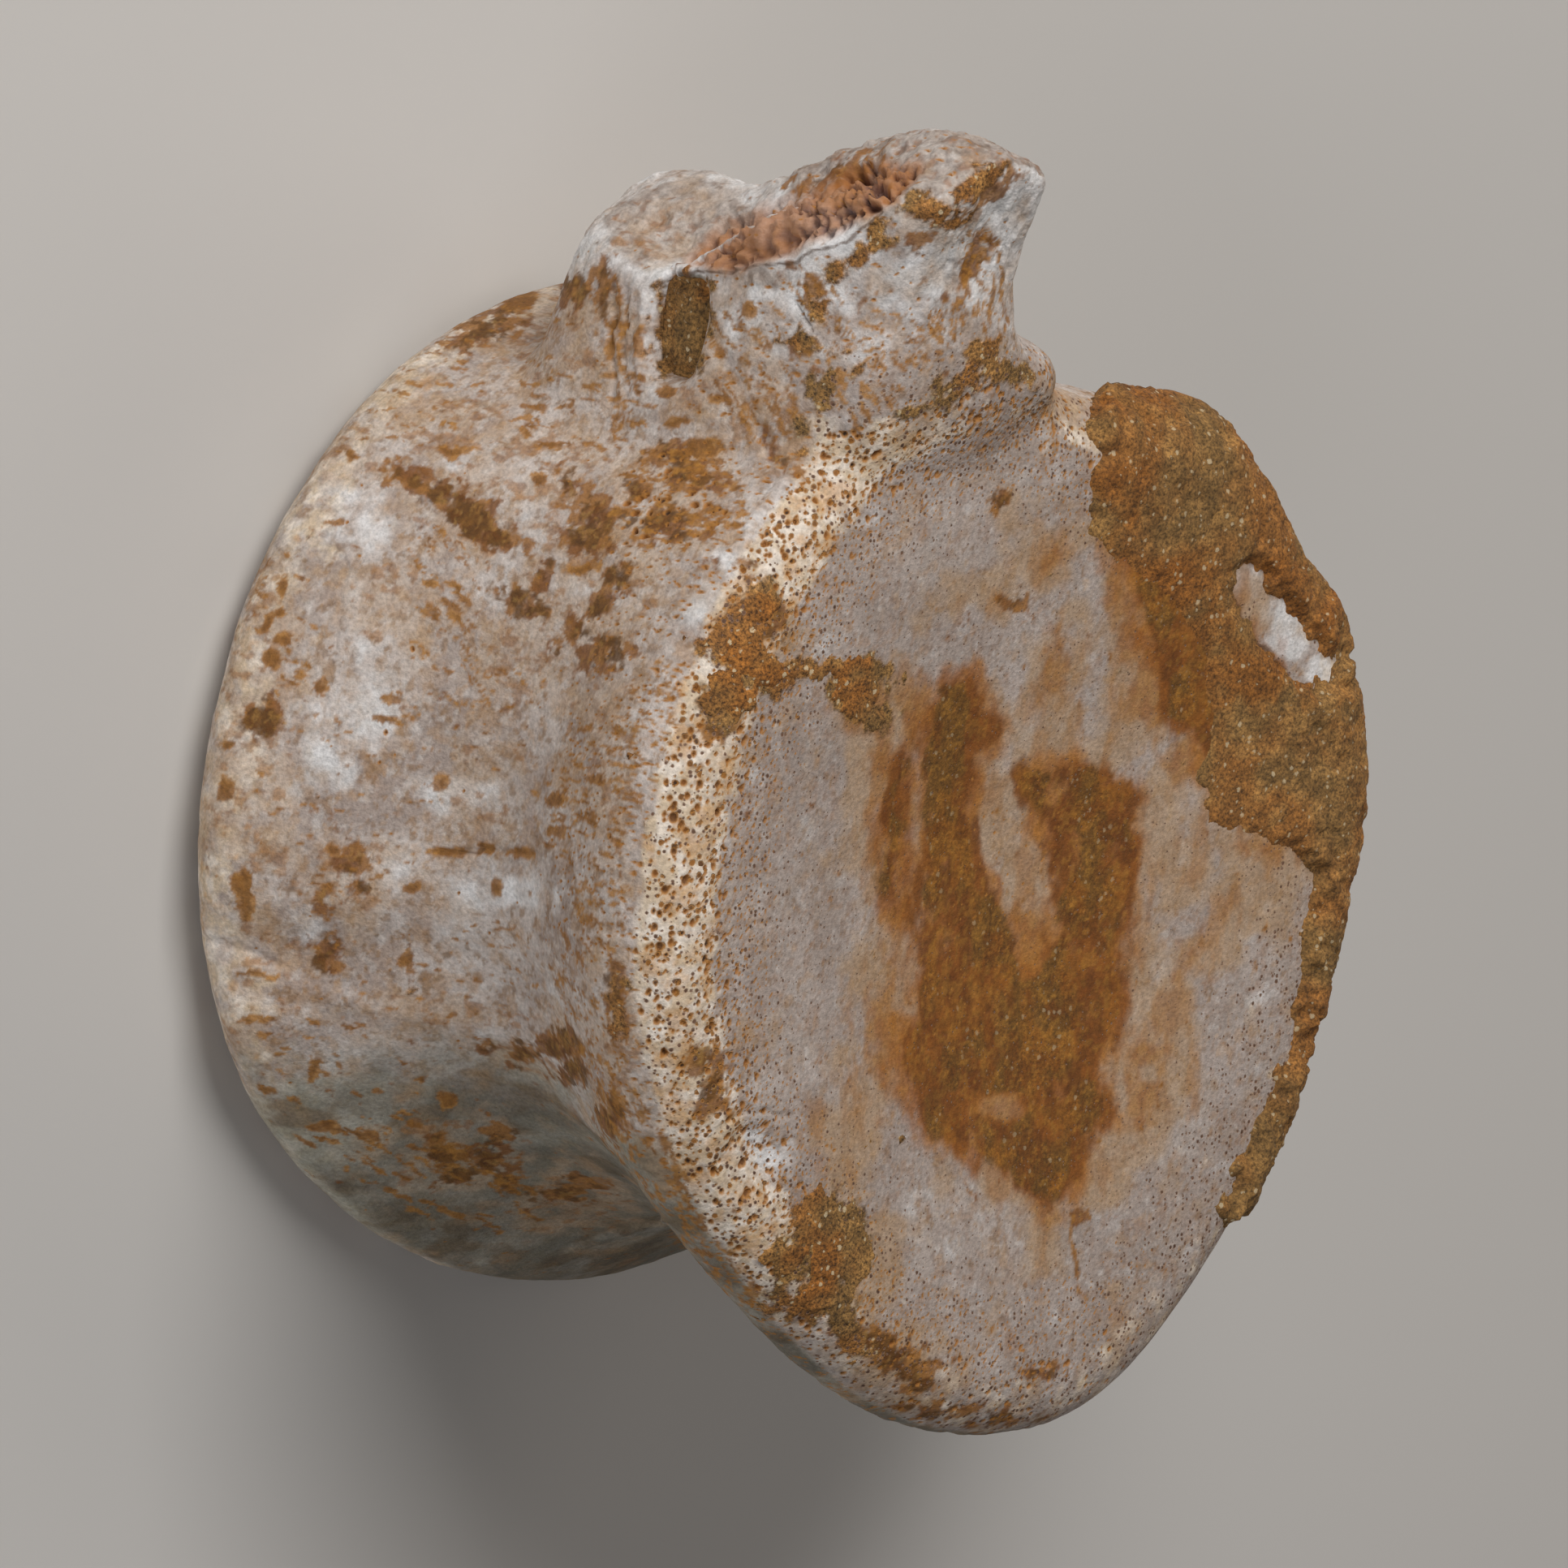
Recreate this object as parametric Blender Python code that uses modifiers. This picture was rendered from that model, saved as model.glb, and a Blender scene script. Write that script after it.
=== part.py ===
"""A fossil plesiosaur vertebra, lying on its rear joint face as it would rest on a table.

+Z runs from the rear joint face up to the front one, +Y is towards the animal's back, and the
animal's right side is at -X. The body of the bone is a waisted drum. Above it stand the roots of
the broken neural arch, with the groove of the neural canal between them. Rock still clings to the
front face in thin crusts and fills a pit under the near root. Lengths are written in millimetres
and turned into metres where a mesh is made.
"""

from math import cos, exp, hypot, pi, sin, sqrt

import bmesh
import bpy
import numpy as np
from mathutils import Matrix, Vector

MM = 0.001

# The drum, or centrum.
LENGTH = 46.0
FRONT_CENTRE = (1.6, -3.6)
REAR_CENTRE = (-0.5, -1.2)
WAIST_CENTRE = (0.4, -2.0)
# Radii every 30 degrees, from +X round through +Y.
FRONT_RADII = (39.8, 40.4, 38.2, 39.2, 40.4, 38.6, 37.2, 36.0, 36.8, 41.2, 42.4, 40.4)
REAR_RADII = (40.6, 40.4, 39.8, 39.4, 40.0, 40.2, 40.5, 40.4, 39.3, 39.4, 39.6, 40.4)
WAIST_RADII = (32.0, 34.6, 38.2, 36.6, 38.6, 35.0, 31.8, 30.6, 29.6, 31.0, 30.6, 31.4)
RIM_DROP = 4.6
RIM_CREST = 0.87
# Swellings and dents of the front rim: bearing, spread and height.
FRONT_SWELLS = (
    (5.0, 9.0, 1.4), (23.0, 9.0, 1.2), (36.0, 5.0, -0.8), (57.0, 9.0, 2.1), (84.0, 9.0, -0.9),
    (288.0, 13.0, 1.3),
)
DISH_DEPTH = 2.8
REAR_DIMPLE_DEPTH = 1.6
REAR_DIMPLE_RADIUS = 5.0
RIM_WAVE = 0.35
RIM_WAVES = 3
WAIST_SHARPNESS = 1.4
AROUND = 96
DISH_RINGS = 10
RIM_RINGS = 6
FLANK_RINGS = 18

# A groove and the ridge below it run forward from the rear rim along the near flank.
GROOVE_BEARING = 193.0
GROOVE_SPREAD = 3.0
GROOVE_DEPTH = 1.5
RIDGE_BEARING = 203.0
RIDGE_SPREAD = 6.5
RIDGE_HEIGHT = 0.7
RELIEF_REACH = 0.55

# Roots of the neural arch, as sections at shares of the way up: x and z of the middle, half width
# and half length. The tops are broken, and each crest is given as places along z and heights.
ROOT_BASE = 24.0
NEAR_ROOT = (
    (0.00, -11.0, 27.0, 9.0, 17.0),
    (0.30, -9.8, 28.4, 12.0, 19.4),
    (0.48, -10.4, 29.2, 11.0, 19.4),
    (0.68, -11.0, 30.4, 9.6, 18.4),
    (0.86, -11.0, 32.0, 9.2, 18.7),
    (1.00, -10.6, 34.2, 9.4, 18.2),
)
NEAR_CREST_ALONG = (11.0, 14.0, 17.0, 23.0, 28.0, 32.0, 36.0, 40.0, 44.0, 47.0, 51.0)
NEAR_CREST = (41.4, 45.2, 48.0, 48.4, 47.4, 49.4, 51.4, 52.6, 53.8, 53.8, 52.4)
NEAR_CREST_X = -11.0
NEAR_FALL_OUTWARD = 0.62
NEAR_FALL_INWARD = 0.35
FAR_ROOT = (
    (0.00, 14.6, 21.5, 8.6, 15.0),
    (0.40, 15.6, 20.5, 9.0, 14.6),
    (0.70, 15.6, 18.8, 7.4, 12.0),
    (1.00, 15.2, 17.4, 6.4, 10.0),
)
FAR_CREST_ALONG = (6.0, 10.0, 16.0, 22.0, 28.0)
FAR_CREST = (38.0, 43.0, 43.6, 40.4, 36.0)
FAR_CREST_X = 14.6
FAR_FALL_OUTWARD = 0.6
FAR_FALL_INWARD = 0.5
SQUARENESS = 3.6
ROOT_AROUND = 64
ROOT_RINGS = 14
TOP_RINGS = 8
# A trough scooped in the near root's broken top: its ends in x and z, half width and depth.
TROUGH_ENDS = ((-17.5, 24.0), (-14.5, 42.0))
TROUGH_SPREAD = 2.6
TROUGH_DEPTH = 2.0

# The near root's foot spreads forward onto the rim of the front face: place and half sizes.
FOOT_PLACE = (-1.4, 34.8, 43.2)
FOOT_HALVES = (5.4, 3.5, 4.6)

# A squared pit in the outer side of the near root and the rock in it: places, half sizes and the
# radius of their corners.
PIT_PLACE = (-18.6, 37.6, 29.7)
PIT_HALVES = (2.6, 3.8, 2.6)
PIT_FILL_PLACE = (-17.8, 37.6, 29.7)
PIT_FILL_HALVES = (1.4, 3.3, 2.1)
PIT_CORNER = 0.9

# Paired blood-vessel holes under the drum, and one in the floor of the canal: place, half sizes.
HOLES = (
    ((-6.5, -33.0, 23.0), (2.2, 4.0, 3.0)),
    ((7.0, -33.0, 24.0), (2.2, 4.0, 3.0)),
    ((1.5, 35.0, 24.0), (1.8, 4.0, 2.8)),
)

# Surfacing of the joined bone.
VOXEL = 0.9
SMOOTH_PASSES = 6
BONE_TRIANGLES = 8600
REST_CUT = 0.16
SLAB = 120.0

# Rock crusts: gap to the bone, thickness, and how far each reaches back over the rim with its
# outline on the front face in x and y.
CRUST_GAP = 0.3
CRUST_THICKNESS = 1.1
CRUSTS = {
    "crust_upper": (9.0, (
        (7.4, 39.6), (6.6, 32.0), (7.2, 24.4), (11.0, 17.2), (15.8, 9.6), (22.0, 3.8), (23.6, 0.2),
        (30.0, -1.6), (34.4, -4.0), (34.2, -15.6), (31.6, -23.0), (26.0, -29.4), (21.6, -35.4),
        (32.0, -34.0), (46.0, -12.0), (46.0, 16.0), (33.0, 36.0), (16.0, 44.0),
    )),
    "crust_near_rim": (3.0, (
        (-32.4, 13.0), (-30.4, 18.6), (-26.0, 22.6), (-21.0, 18.6), (-12.6, 17.0), (-11.4, 12.2),
        (-16.0, 12.0), (-21.5, 14.6), (-26.4, 13.6),
    )),
    "crust_lower": (3.0, (
        (-23.6, -22.6), (-17.4, -21.0), (-13.4, -24.4), (-12.2, -32.0), (-14.8, -35.4), (-19.8, -33.0),
    )),
}

BONE = ("fossil_bone", (0.42, 0.36, 0.31), 0.72)
ROCK = ("sandy_matrix", (0.22, 0.135, 0.06), 0.92)


def clear_scene():
    for obj in list(bpy.data.objects):
        bpy.data.objects.remove(obj, do_unlink=True)


def new_collection(name):
    collection = bpy.data.collections.new(name)
    bpy.context.scene.collection.children.link(collection)
    return collection


def new_material(name, colour, roughness):
    material = bpy.data.materials.new(name)
    material.use_nodes = True
    shader = material.node_tree.nodes["Principled BSDF"]
    shader.inputs["Base Color"].default_value = (*colour, 1.0)
    shader.inputs["Roughness"].default_value = roughness
    shader.inputs["Metallic"].default_value = 0.0
    return material


def object_from_rings(name, rings, collection):
    """Makes a closed object from rings of points in millimetres, each end closed by a fan."""
    shape = bmesh.new()
    rows = [[shape.verts.new(Vector(point) * MM) for point in ring] for ring in rings]
    for row, following in zip(rows, rows[1:]):
        for i, vertex in enumerate(row):
            j = (i + 1) % len(row)
            shape.faces.new((vertex, row[j], following[j], following[i]))
    for row in (rows[0], rows[-1]):
        middle = shape.verts.new(sum((vertex.co for vertex in row), Vector()) / len(row))
        for i, vertex in enumerate(row):
            shape.faces.new((row[(i + 1) % len(row)], vertex, middle))
    bmesh.ops.recalc_face_normals(shape, faces=shape.faces)
    mesh = bpy.data.meshes.new(name)
    shape.to_mesh(mesh)
    shape.free()
    obj = bpy.data.objects.new(name, mesh)
    collection.objects.link(obj)
    return obj


def smooth_radii(radii, bearings):
    """Radii at the bearings, on the smoothest closed curve through evenly spaced ones."""
    count = len(radii)
    waves = np.fft.rfft(radii) / count
    result = np.full(len(bearings), waves[0].real)
    for k in range(1, len(waves)):
        share = 1.0 if 2 * k == count else 2.0
        result += share * (waves[k] * np.exp(1j * k * bearings)).real
    return result


def bump(bearings, centre, spread):
    """A soft hump of height 1 round a bearing in degrees."""
    away = (np.degrees(bearings) - centre + 180.0) % 360.0 - 180.0
    return np.exp(-((away / spread) ** 2))


def face_height(share):
    """Depth of a joint face below the crest of its rim, at a share of the outline's radius."""
    if share <= RIM_CREST:
        return DISH_DEPTH * 0.5 * (1.0 + cos(pi * share / RIM_CREST))
    return RIM_DROP * (1.0 - sqrt(max(0.0, 1.0 - ((share - RIM_CREST) / (1.0 - RIM_CREST)) ** 2)))


def face_shares():
    """Shares of the outline's radius for the rings of one joint face, from its middle outwards."""
    dish = [RIM_CREST * (i + 1) / DISH_RINGS for i in range(DISH_RINGS)]
    rim = [RIM_CREST + (1.0 - RIM_CREST) * sin(pi / 2 * (i + 1) / RIM_RINGS) for i in range(RIM_RINGS)]
    return dish + rim


def face_ring(radii, centre, share, height, bearings, swells=()):
    radius = smooth_radii(radii, bearings)
    for bearing, spread, swell in swells:
        radius += swell * bump(bearings, bearing, spread)
    radius *= share
    x = centre[0] + radius * np.cos(bearings)
    y = centre[1] + radius * np.sin(bearings)
    return np.stack([x, y, height], 1)


def rear_ring(share, bearings):
    depth = face_height(share)
    radius = share * REAR_RADII[0]
    depth += REAR_DIMPLE_DEPTH * np.exp(-((radius / REAR_DIMPLE_RADIUS) ** 2))
    wave = RIM_WAVE * (1.0 - np.cos(RIM_WAVES * bearings)) * share**2
    return face_ring(REAR_RADII, REAR_CENTRE, share, depth + wave, bearings)


def front_ring(share, bearings):
    height = np.full(len(bearings), LENGTH - face_height(share))
    return face_ring(FRONT_RADII, FRONT_CENTRE, share, height, bearings, FRONT_SWELLS)


def flank_ring(step, bearings):
    """One ring of the waisted flank, at a share of the way from the rear rim to the front one."""
    rear, front = rear_ring(1.0, bearings), front_ring(1.0, bearings)
    straight = rear * (1.0 - step) + front * step
    waist = face_ring(WAIST_RADII, WAIST_CENTRE, 1.0, straight[:, 2], bearings)
    middle = (rear + front) / 2
    pull = sin(pi * step) ** WAIST_SHARPNESS
    ring = straight + (waist - middle) * [pull, pull, 0.0]
    relief = RIDGE_HEIGHT * bump(bearings, RIDGE_BEARING, RIDGE_SPREAD)
    relief -= GROOVE_DEPTH * bump(bearings, GROOVE_BEARING, GROOVE_SPREAD)
    relief *= exp(-((step / RELIEF_REACH) ** 2))
    ring[:, 0] += relief * np.cos(bearings)
    ring[:, 1] += relief * np.sin(bearings)
    return ring


def make_centrum(collection):
    bearings = np.arange(AROUND) * 2 * pi / AROUND
    rings = [rear_ring(share, bearings) for share in face_shares()[:-1]]
    rings += [flank_ring(i / FLANK_RINGS, bearings) for i in range(FLANK_RINGS + 1)]
    rings += [front_ring(share, bearings) for share in reversed(face_shares()[:-1])]
    return object_from_rings("centrum", rings, collection)


def trough_depth(x, z):
    """Depth of the trough at a place on the near root's top."""
    (start_x, start_z), (end_x, end_z) = TROUGH_ENDS
    along_x, along_z = end_x - start_x, end_z - start_z
    share = ((x - start_x) * along_x + (z - start_z) * along_z) / (along_x**2 + along_z**2)
    share = min(max(share, 0.0), 1.0)
    away = hypot(x - start_x - share * along_x, z - start_z - share * along_z)
    return TROUGH_DEPTH * exp(-((away / TROUGH_SPREAD) ** 2))


def near_top(x, z):
    crest = np.interp(z, NEAR_CREST_ALONG, NEAR_CREST)
    outward = max(0.0, NEAR_CREST_X - x)
    inward = max(0.0, x - NEAR_CREST_X)
    return crest - NEAR_FALL_OUTWARD * outward - NEAR_FALL_INWARD * inward - trough_depth(x, z)


def far_top(x, z):
    crest = np.interp(z, FAR_CREST_ALONG, FAR_CREST)
    outward = max(0.0, x - FAR_CREST_X)
    inward = max(0.0, FAR_CREST_X - x)
    return crest - FAR_FALL_OUTWARD * outward - FAR_FALL_INWARD * inward


def make_root(name, sections, top, collection):
    """An arch root: rings up its side, then rings that close in over its broken top."""
    shares, *columns = np.array(sections).T
    angles = np.arange(ROOT_AROUND) * 2 * pi / ROOT_AROUND
    reach = np.abs(np.cos(angles)) ** SQUARENESS + np.abs(np.sin(angles)) ** SQUARENESS
    reach = reach ** (-1 / SQUARENESS)
    levels = [(i / ROOT_RINGS, 1.0) for i in range(ROOT_RINGS + 1)]
    levels += [(1.0, 1.0 - i / TOP_RINGS) for i in range(1, TOP_RINGS)]
    rings = []
    for share, spread in levels:
        x, z, half_width, half_length = (np.interp(share, shares, column) for column in columns)
        across = x + half_width * np.cos(angles) * reach * spread
        along = z + half_length * np.sin(angles) * reach * spread
        heights = [ROOT_BASE + share * (top(*place) - ROOT_BASE) for place in zip(across, along)]
        rings.append(list(zip(across, heights, along)))
    return object_from_rings(name, rings, collection)


def make_blob(name, place, halves, collection):
    bpy.ops.mesh.primitive_uv_sphere_add(segments=24, ring_count=16, radius=MM)
    blob = bpy.context.object
    blob.name = name
    blob.location = Vector(place) * MM
    blob.scale = halves
    move_to(blob, collection)
    return blob


def make_rounded_block(name, place, halves, collection):
    bpy.ops.mesh.primitive_cube_add(size=2 * MM)
    block = bpy.context.object
    block.name = name
    block.location = Vector(place) * MM
    block.data.transform(Matrix.Diagonal((*halves, 1.0)))
    bevel = block.modifiers.new("Bevel", "BEVEL")
    bevel.width = PIT_CORNER * MM
    bevel.segments = 3
    move_to(block, collection)
    apply_modifiers(block)
    return block


def move_to(obj, collection):
    for owner in list(obj.users_collection):
        owner.objects.unlink(obj)
    collection.objects.link(obj)


def apply_modifiers(obj):
    graph = bpy.context.evaluated_depsgraph_get()
    mesh = bpy.data.meshes.new_from_object(obj.evaluated_get(graph))
    obj.modifiers.clear()
    old = obj.data
    obj.data = mesh
    bpy.data.meshes.remove(old)


def combine(obj, others, operation):
    """Joins, cuts or trims the object with the others, then removes them."""
    for other in others:
        modifier = obj.modifiers.new(operation.title(), "BOOLEAN")
        modifier.operation = operation
        modifier.object = other
    apply_modifiers(obj)
    for other in others:
        bpy.data.objects.remove(other, do_unlink=True)


def copy_of(obj, name, collection):
    twin = obj.copy()
    twin.data = obj.data.copy()
    twin.name = name
    collection.objects.link(twin)
    return twin


def keep_largest(obj):
    """Leaves only the surface with the most faces, which drops sealed hollows and loose scraps."""
    shape = bmesh.new()
    shape.from_mesh(obj.data)
    left = set(shape.faces)
    shells = []
    while left:
        front = [left.pop()]
        shell = list(front)
        while front:
            face = front.pop()
            for edge in face.edges:
                for other in edge.link_faces:
                    if other in left:
                        left.remove(other)
                        front.append(other)
                        shell.append(other)
        shells.append(shell)
    shells.sort(key=len)
    scraps = [face for shell in shells[:-1] for face in shell]
    bmesh.ops.delete(shape, geom=scraps, context="FACES")
    shape.to_mesh(obj.data)
    shape.free()


def surface(obj):
    """Melts the joints between the pieces into one even skin and thins its triangles."""
    remesh = obj.modifiers.new("Remesh", "REMESH")
    remesh.mode = "VOXEL"
    remesh.voxel_size = VOXEL * MM
    smooth = obj.modifiers.new("Smooth", "SMOOTH")
    smooth.iterations = SMOOTH_PASSES
    triangulate = obj.modifiers.new("Triangulate", "TRIANGULATE")
    triangulate.quad_method = "BEAUTY"
    apply_modifiers(obj)
    keep_largest(obj)
    decimate = obj.modifiers.new("Decimate", "DECIMATE")
    decimate.ratio = BONE_TRIANGLES / len(obj.data.polygons)
    apply_modifiers(obj)


def make_rest_cutter(collection):
    """A slab whose top is the level that the bone rests on."""
    bpy.ops.mesh.primitive_cube_add(size=SLAB * MM)
    slab = bpy.context.object
    slab.name = "rest_cutter"
    slab.location.z = (REST_CUT - SLAB / 2) * MM
    move_to(slab, collection)
    return slab


def make_bone(collection, cutters):
    bone = make_centrum(collection)
    near = make_root("near_root", NEAR_ROOT, near_top, cutters)
    far = make_root("far_root", FAR_ROOT, far_top, cutters)
    foot = make_blob("foot", FOOT_PLACE, FOOT_HALVES, cutters)
    combine(bone, [near, far, foot], "UNION")
    hollows = [make_blob("hole", place, halves, cutters) for place, halves in HOLES]
    hollows.append(make_rounded_block("pit", PIT_PLACE, PIT_HALVES, cutters))
    combine(bone, hollows, "DIFFERENCE")
    surface(bone)
    combine(bone, [make_rest_cutter(cutters)], "DIFFERENCE")
    keep_largest(bone)
    bone.name = "vertebra"
    return bone


def inflated(bone, thickness, collection):
    twin = copy_of(bone, "inflated", collection)
    displace = twin.modifiers.new("Displace", "DISPLACE")
    displace.mid_level = 0.0
    displace.strength = thickness * MM
    apply_modifiers(twin)
    return twin


def closed_curve(points, steps):
    """A smooth closed outline through the points, with so many steps between neighbours."""
    corners = np.array(points)
    before, after = np.roll(corners, 1, 0), np.roll(corners, -1, 0)
    beyond = np.roll(corners, -2, 0)
    outline = []
    for a, b, c, d in zip(before, corners, after, beyond):
        for i in range(steps):
            t = i / steps
            tangent_b, tangent_c = (c - a) / 2, (d - b) / 2
            outline.append(
                (2 * t**3 - 3 * t**2 + 1) * b
                + (t**3 - 2 * t**2 + t) * tangent_b
                + (3 * t**2 - 2 * t**3) * c
                + (t**3 - t**2) * tangent_c
            )
    return outline


def trim_to_crust(crust, bone, collection):
    """Keeps the part of the object that lies in a thin layer over the bone."""
    combine(crust, [inflated(bone, CRUST_GAP + CRUST_THICKNESS, collection)], "INTERSECT")
    combine(crust, [inflated(bone, CRUST_GAP, collection)], "DIFFERENCE")
    keep_largest(crust)


def make_crust(name, skirt, outline, bone, collection, cutters):
    levels = (LENGTH - skirt, LENGTH + skirt)
    rings = [[(x, y, z) for x, y in closed_curve(outline, 3)] for z in levels]
    crust = object_from_rings(name, rings, collection)
    trim_to_crust(crust, bone, cutters)
    return crust


def make_pit_fill(bone, collection, cutters):
    """Rock that fills the pit in the near root, about level with the bone round it."""
    fill = make_rounded_block("crust_pit", PIT_FILL_PLACE, PIT_FILL_HALVES, collection)
    combine(fill, [inflated(bone, CRUST_GAP, cutters)], "DIFFERENCE")
    keep_largest(fill)
    return fill


def centre_on_origin(objects):
    """Moves all the objects alike, so that their box stands centred on the origin."""
    corners = np.array([obj.matrix_world @ vertex.co for obj in objects for vertex in obj.data.vertices])
    low, high = corners.min(0), corners.max(0)
    shift = Vector((-(low[0] + high[0]) / 2, -(low[1] + high[1]) / 2, -low[2]))
    for obj in objects:
        obj.data.transform(obj.matrix_world)
        obj.matrix_world.identity()
        obj.data.transform(obj.matrix_world.Translation(shift))


def main():
    clear_scene()
    parts = new_collection("fossil_plesiosaur_vertebra")
    cutters = new_collection("cutters")
    bone = make_bone(parts, cutters)
    crusts = [make_crust(name, *crust, bone, parts, cutters) for name, crust in CRUSTS.items()]
    crusts.append(make_pit_fill(bone, parts, cutters))
    centre_on_origin([bone, *crusts])
    bone_material, rock_material = new_material(*BONE), new_material(*ROCK)
    for obj in (bone, *crusts):
        obj.data.materials.clear()
        obj.data.materials.append(bone_material if obj is bone else rock_material)
        obj.data.shade_smooth()


main()
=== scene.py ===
import logging
import math
from collections.abc import Iterable, Sequence
from dataclasses import dataclass, field
from enum import Enum

import bmesh
import bpy
import numpy as np
from mathutils import Matrix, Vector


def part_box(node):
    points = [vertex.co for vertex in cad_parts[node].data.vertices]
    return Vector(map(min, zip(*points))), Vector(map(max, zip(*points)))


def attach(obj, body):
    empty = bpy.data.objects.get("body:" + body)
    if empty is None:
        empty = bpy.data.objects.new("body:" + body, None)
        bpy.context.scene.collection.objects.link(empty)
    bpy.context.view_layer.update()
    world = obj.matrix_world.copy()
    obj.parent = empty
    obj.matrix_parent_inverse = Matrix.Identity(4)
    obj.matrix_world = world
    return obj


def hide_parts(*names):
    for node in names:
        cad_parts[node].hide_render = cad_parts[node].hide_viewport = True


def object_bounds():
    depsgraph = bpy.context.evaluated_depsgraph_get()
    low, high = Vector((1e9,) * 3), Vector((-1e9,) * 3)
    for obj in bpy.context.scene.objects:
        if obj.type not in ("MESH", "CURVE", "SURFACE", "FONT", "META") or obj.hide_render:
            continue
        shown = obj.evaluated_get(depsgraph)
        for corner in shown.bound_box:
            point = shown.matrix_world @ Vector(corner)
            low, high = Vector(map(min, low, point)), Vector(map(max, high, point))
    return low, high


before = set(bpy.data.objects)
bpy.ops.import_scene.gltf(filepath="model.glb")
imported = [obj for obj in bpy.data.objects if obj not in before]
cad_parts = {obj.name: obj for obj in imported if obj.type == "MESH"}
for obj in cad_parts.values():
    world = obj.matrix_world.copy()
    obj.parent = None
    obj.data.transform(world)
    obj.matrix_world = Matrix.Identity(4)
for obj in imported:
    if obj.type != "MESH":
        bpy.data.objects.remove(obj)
CAD_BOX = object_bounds()

# short names for types; a node as a source stands for its first output
Array = np.ndarray
Body, Mesh = bpy.types.Object, bpy.types.Mesh
Source, Tree = bpy.types.Node | bpy.types.NodeSocket, bpy.types.NodeTree
Pair, Triple = tuple[float, float], tuple[float, float, float]

LOG = logging.getLogger("vertebra")
SEED = 4822
MM = 0.001  # one millimetre in metres; the arrays below are in mm
WELD = 1e-7  # metres, corners closer than this are one
FRAME_PX = 1932
PX_PER_MM = 16.4  # at the middle of the bone, in the photograph's frame


def ease(value: Array, low: float, high: float) -> Array:
    """Rises from 0 at low to 1 at high, or falls where high is the lower one.

    Args:
        value: Numbers to ease.
        low: Where the result is 0.
        high: Where the result is 1.

    Returns:
        The eased numbers.
    """
    share = np.clip((value - low) / (high - low), 0.0, 1.0)
    return share * share * (3.0 - 2.0 * share)


def hex_colour(code: str) -> tuple[float, float, float, float]:
    """Turns an sRGB hex colour to Blender's linear one.

    Args:
        code: Six hex digits.

    Returns:
        Red, green, blue and an alpha of 1.
    """
    parts = [int(code[i : i + 2], 16) / 255.0 for i in (0, 2, 4)]
    lin = [p / 12.92 if p <= 0.04045 else ((p + 0.055) / 1.055) ** 2.4 for p in parts]
    return (lin[0], lin[1], lin[2], 1.0)


def add_node(
    tree: Tree,
    kind: str,
    settings: dict | None = None,
    links: dict | None = None,
) -> bpy.types.Node:
    """Adds a node with its settings and links.

    Args:
        tree: The material's or world's tree.
        kind: Blender's name of the node's type, without the ShaderNode before it.
        settings: The node's own properties, or its sockets by name or number.
        links: Nodes, for their first output, or output sockets, by the name or number of the
            input they feed.

    Returns:
        The new node.
    """
    node = tree.nodes.new("ShaderNode" + kind)
    for name, value in (settings or {}).items():
        if isinstance(name, str) and hasattr(node, name):
            setattr(node, name, value)
        else:
            node.inputs[name].default_value = value
    for name, source in (links or {}).items():
        output = source.outputs[0] if isinstance(source, bpy.types.Node) else source
        tree.links.new(output, node.inputs[name])
    return node


def linear(*codes: str) -> list[Array]:
    """Turns sRGB hex colours to arrays of linear red, green and blue."""
    return [np.array(hex_colour(code)[:3]) for code in codes]


def add_object(name: str, data: bpy.types.ID) -> Body:
    """Makes an object of a mesh, a lamp or a camera, and links it to the scene."""
    made = bpy.data.objects.new(name, data)
    bpy.context.scene.collection.objects.link(made)
    return made


def pose(axes: Sequence[Array], place: Array) -> Matrix:
    """Builds an object's matrix.

    Args:
        axes: The directions of its own X, Y and Z.
        place: Its origin in mm.

    Returns:
        The matrix, in metres.
    """
    turned = np.eye(4)
    turned[:3, :3] = np.stack(axes, axis=1)
    turned[:3, 3] = place * MM
    return Matrix(turned.tolist())


def welded_body(source: Body, name: str) -> Body:
    """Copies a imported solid, with the corners of its facets joined.

    Args:
        source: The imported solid.
        name: The copy's name.

    Returns:
        The copy, linked to the scene.
    """
    welded = bmesh.new()
    welded.from_mesh(source.data)
    bmesh.ops.remove_doubles(welded, verts=welded.verts, dist=WELD)
    mesh = bpy.data.meshes.new(name)
    welded.to_mesh(mesh)
    welded.free()
    return add_object(name, mesh)


def divide(body: Body, levels: int) -> None:
    """Rounds a body and divides each of its faces in four, some times over."""
    rounder = body.modifiers.new("divide", "SUBSURF")
    rounder.levels = rounder.render_levels = levels


def even_out(body: Body, width: float, rounds: int) -> None:
    """Gives a body an even net of quads and lets it settle.

    Args:
        body: The body.
        width: Width of a quad in mm.
        rounds: How often the net is smoothed.
    """
    even = body.modifiers.new("even", "REMESH")
    even.mode = "VOXEL"
    even.voxel_size = width * MM
    settle = body.modifiers.new("settle", "SMOOTH")
    settle.iterations = rounds


def applied(body: Body) -> Mesh:
    """Makes a new mesh of a body with its modifiers worked in."""
    graph = bpy.context.evaluated_depsgraph_get()
    return bpy.data.meshes.new_from_object(body.evaluated_get(graph))


def read_points(mesh: Mesh) -> tuple[Array, Array]:
    """Places in mm and normals of a mesh's points."""
    points = np.empty(len(mesh.vertices) * 3, np.float32)
    normals = np.empty_like(points)
    mesh.vertices.foreach_get("co", points)
    mesh.vertex_normals.foreach_get("vector", normals)
    points, normals = (values.reshape(-1, 3).astype(np.float64) for values in (points, normals))
    return points / MM, normals


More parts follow.
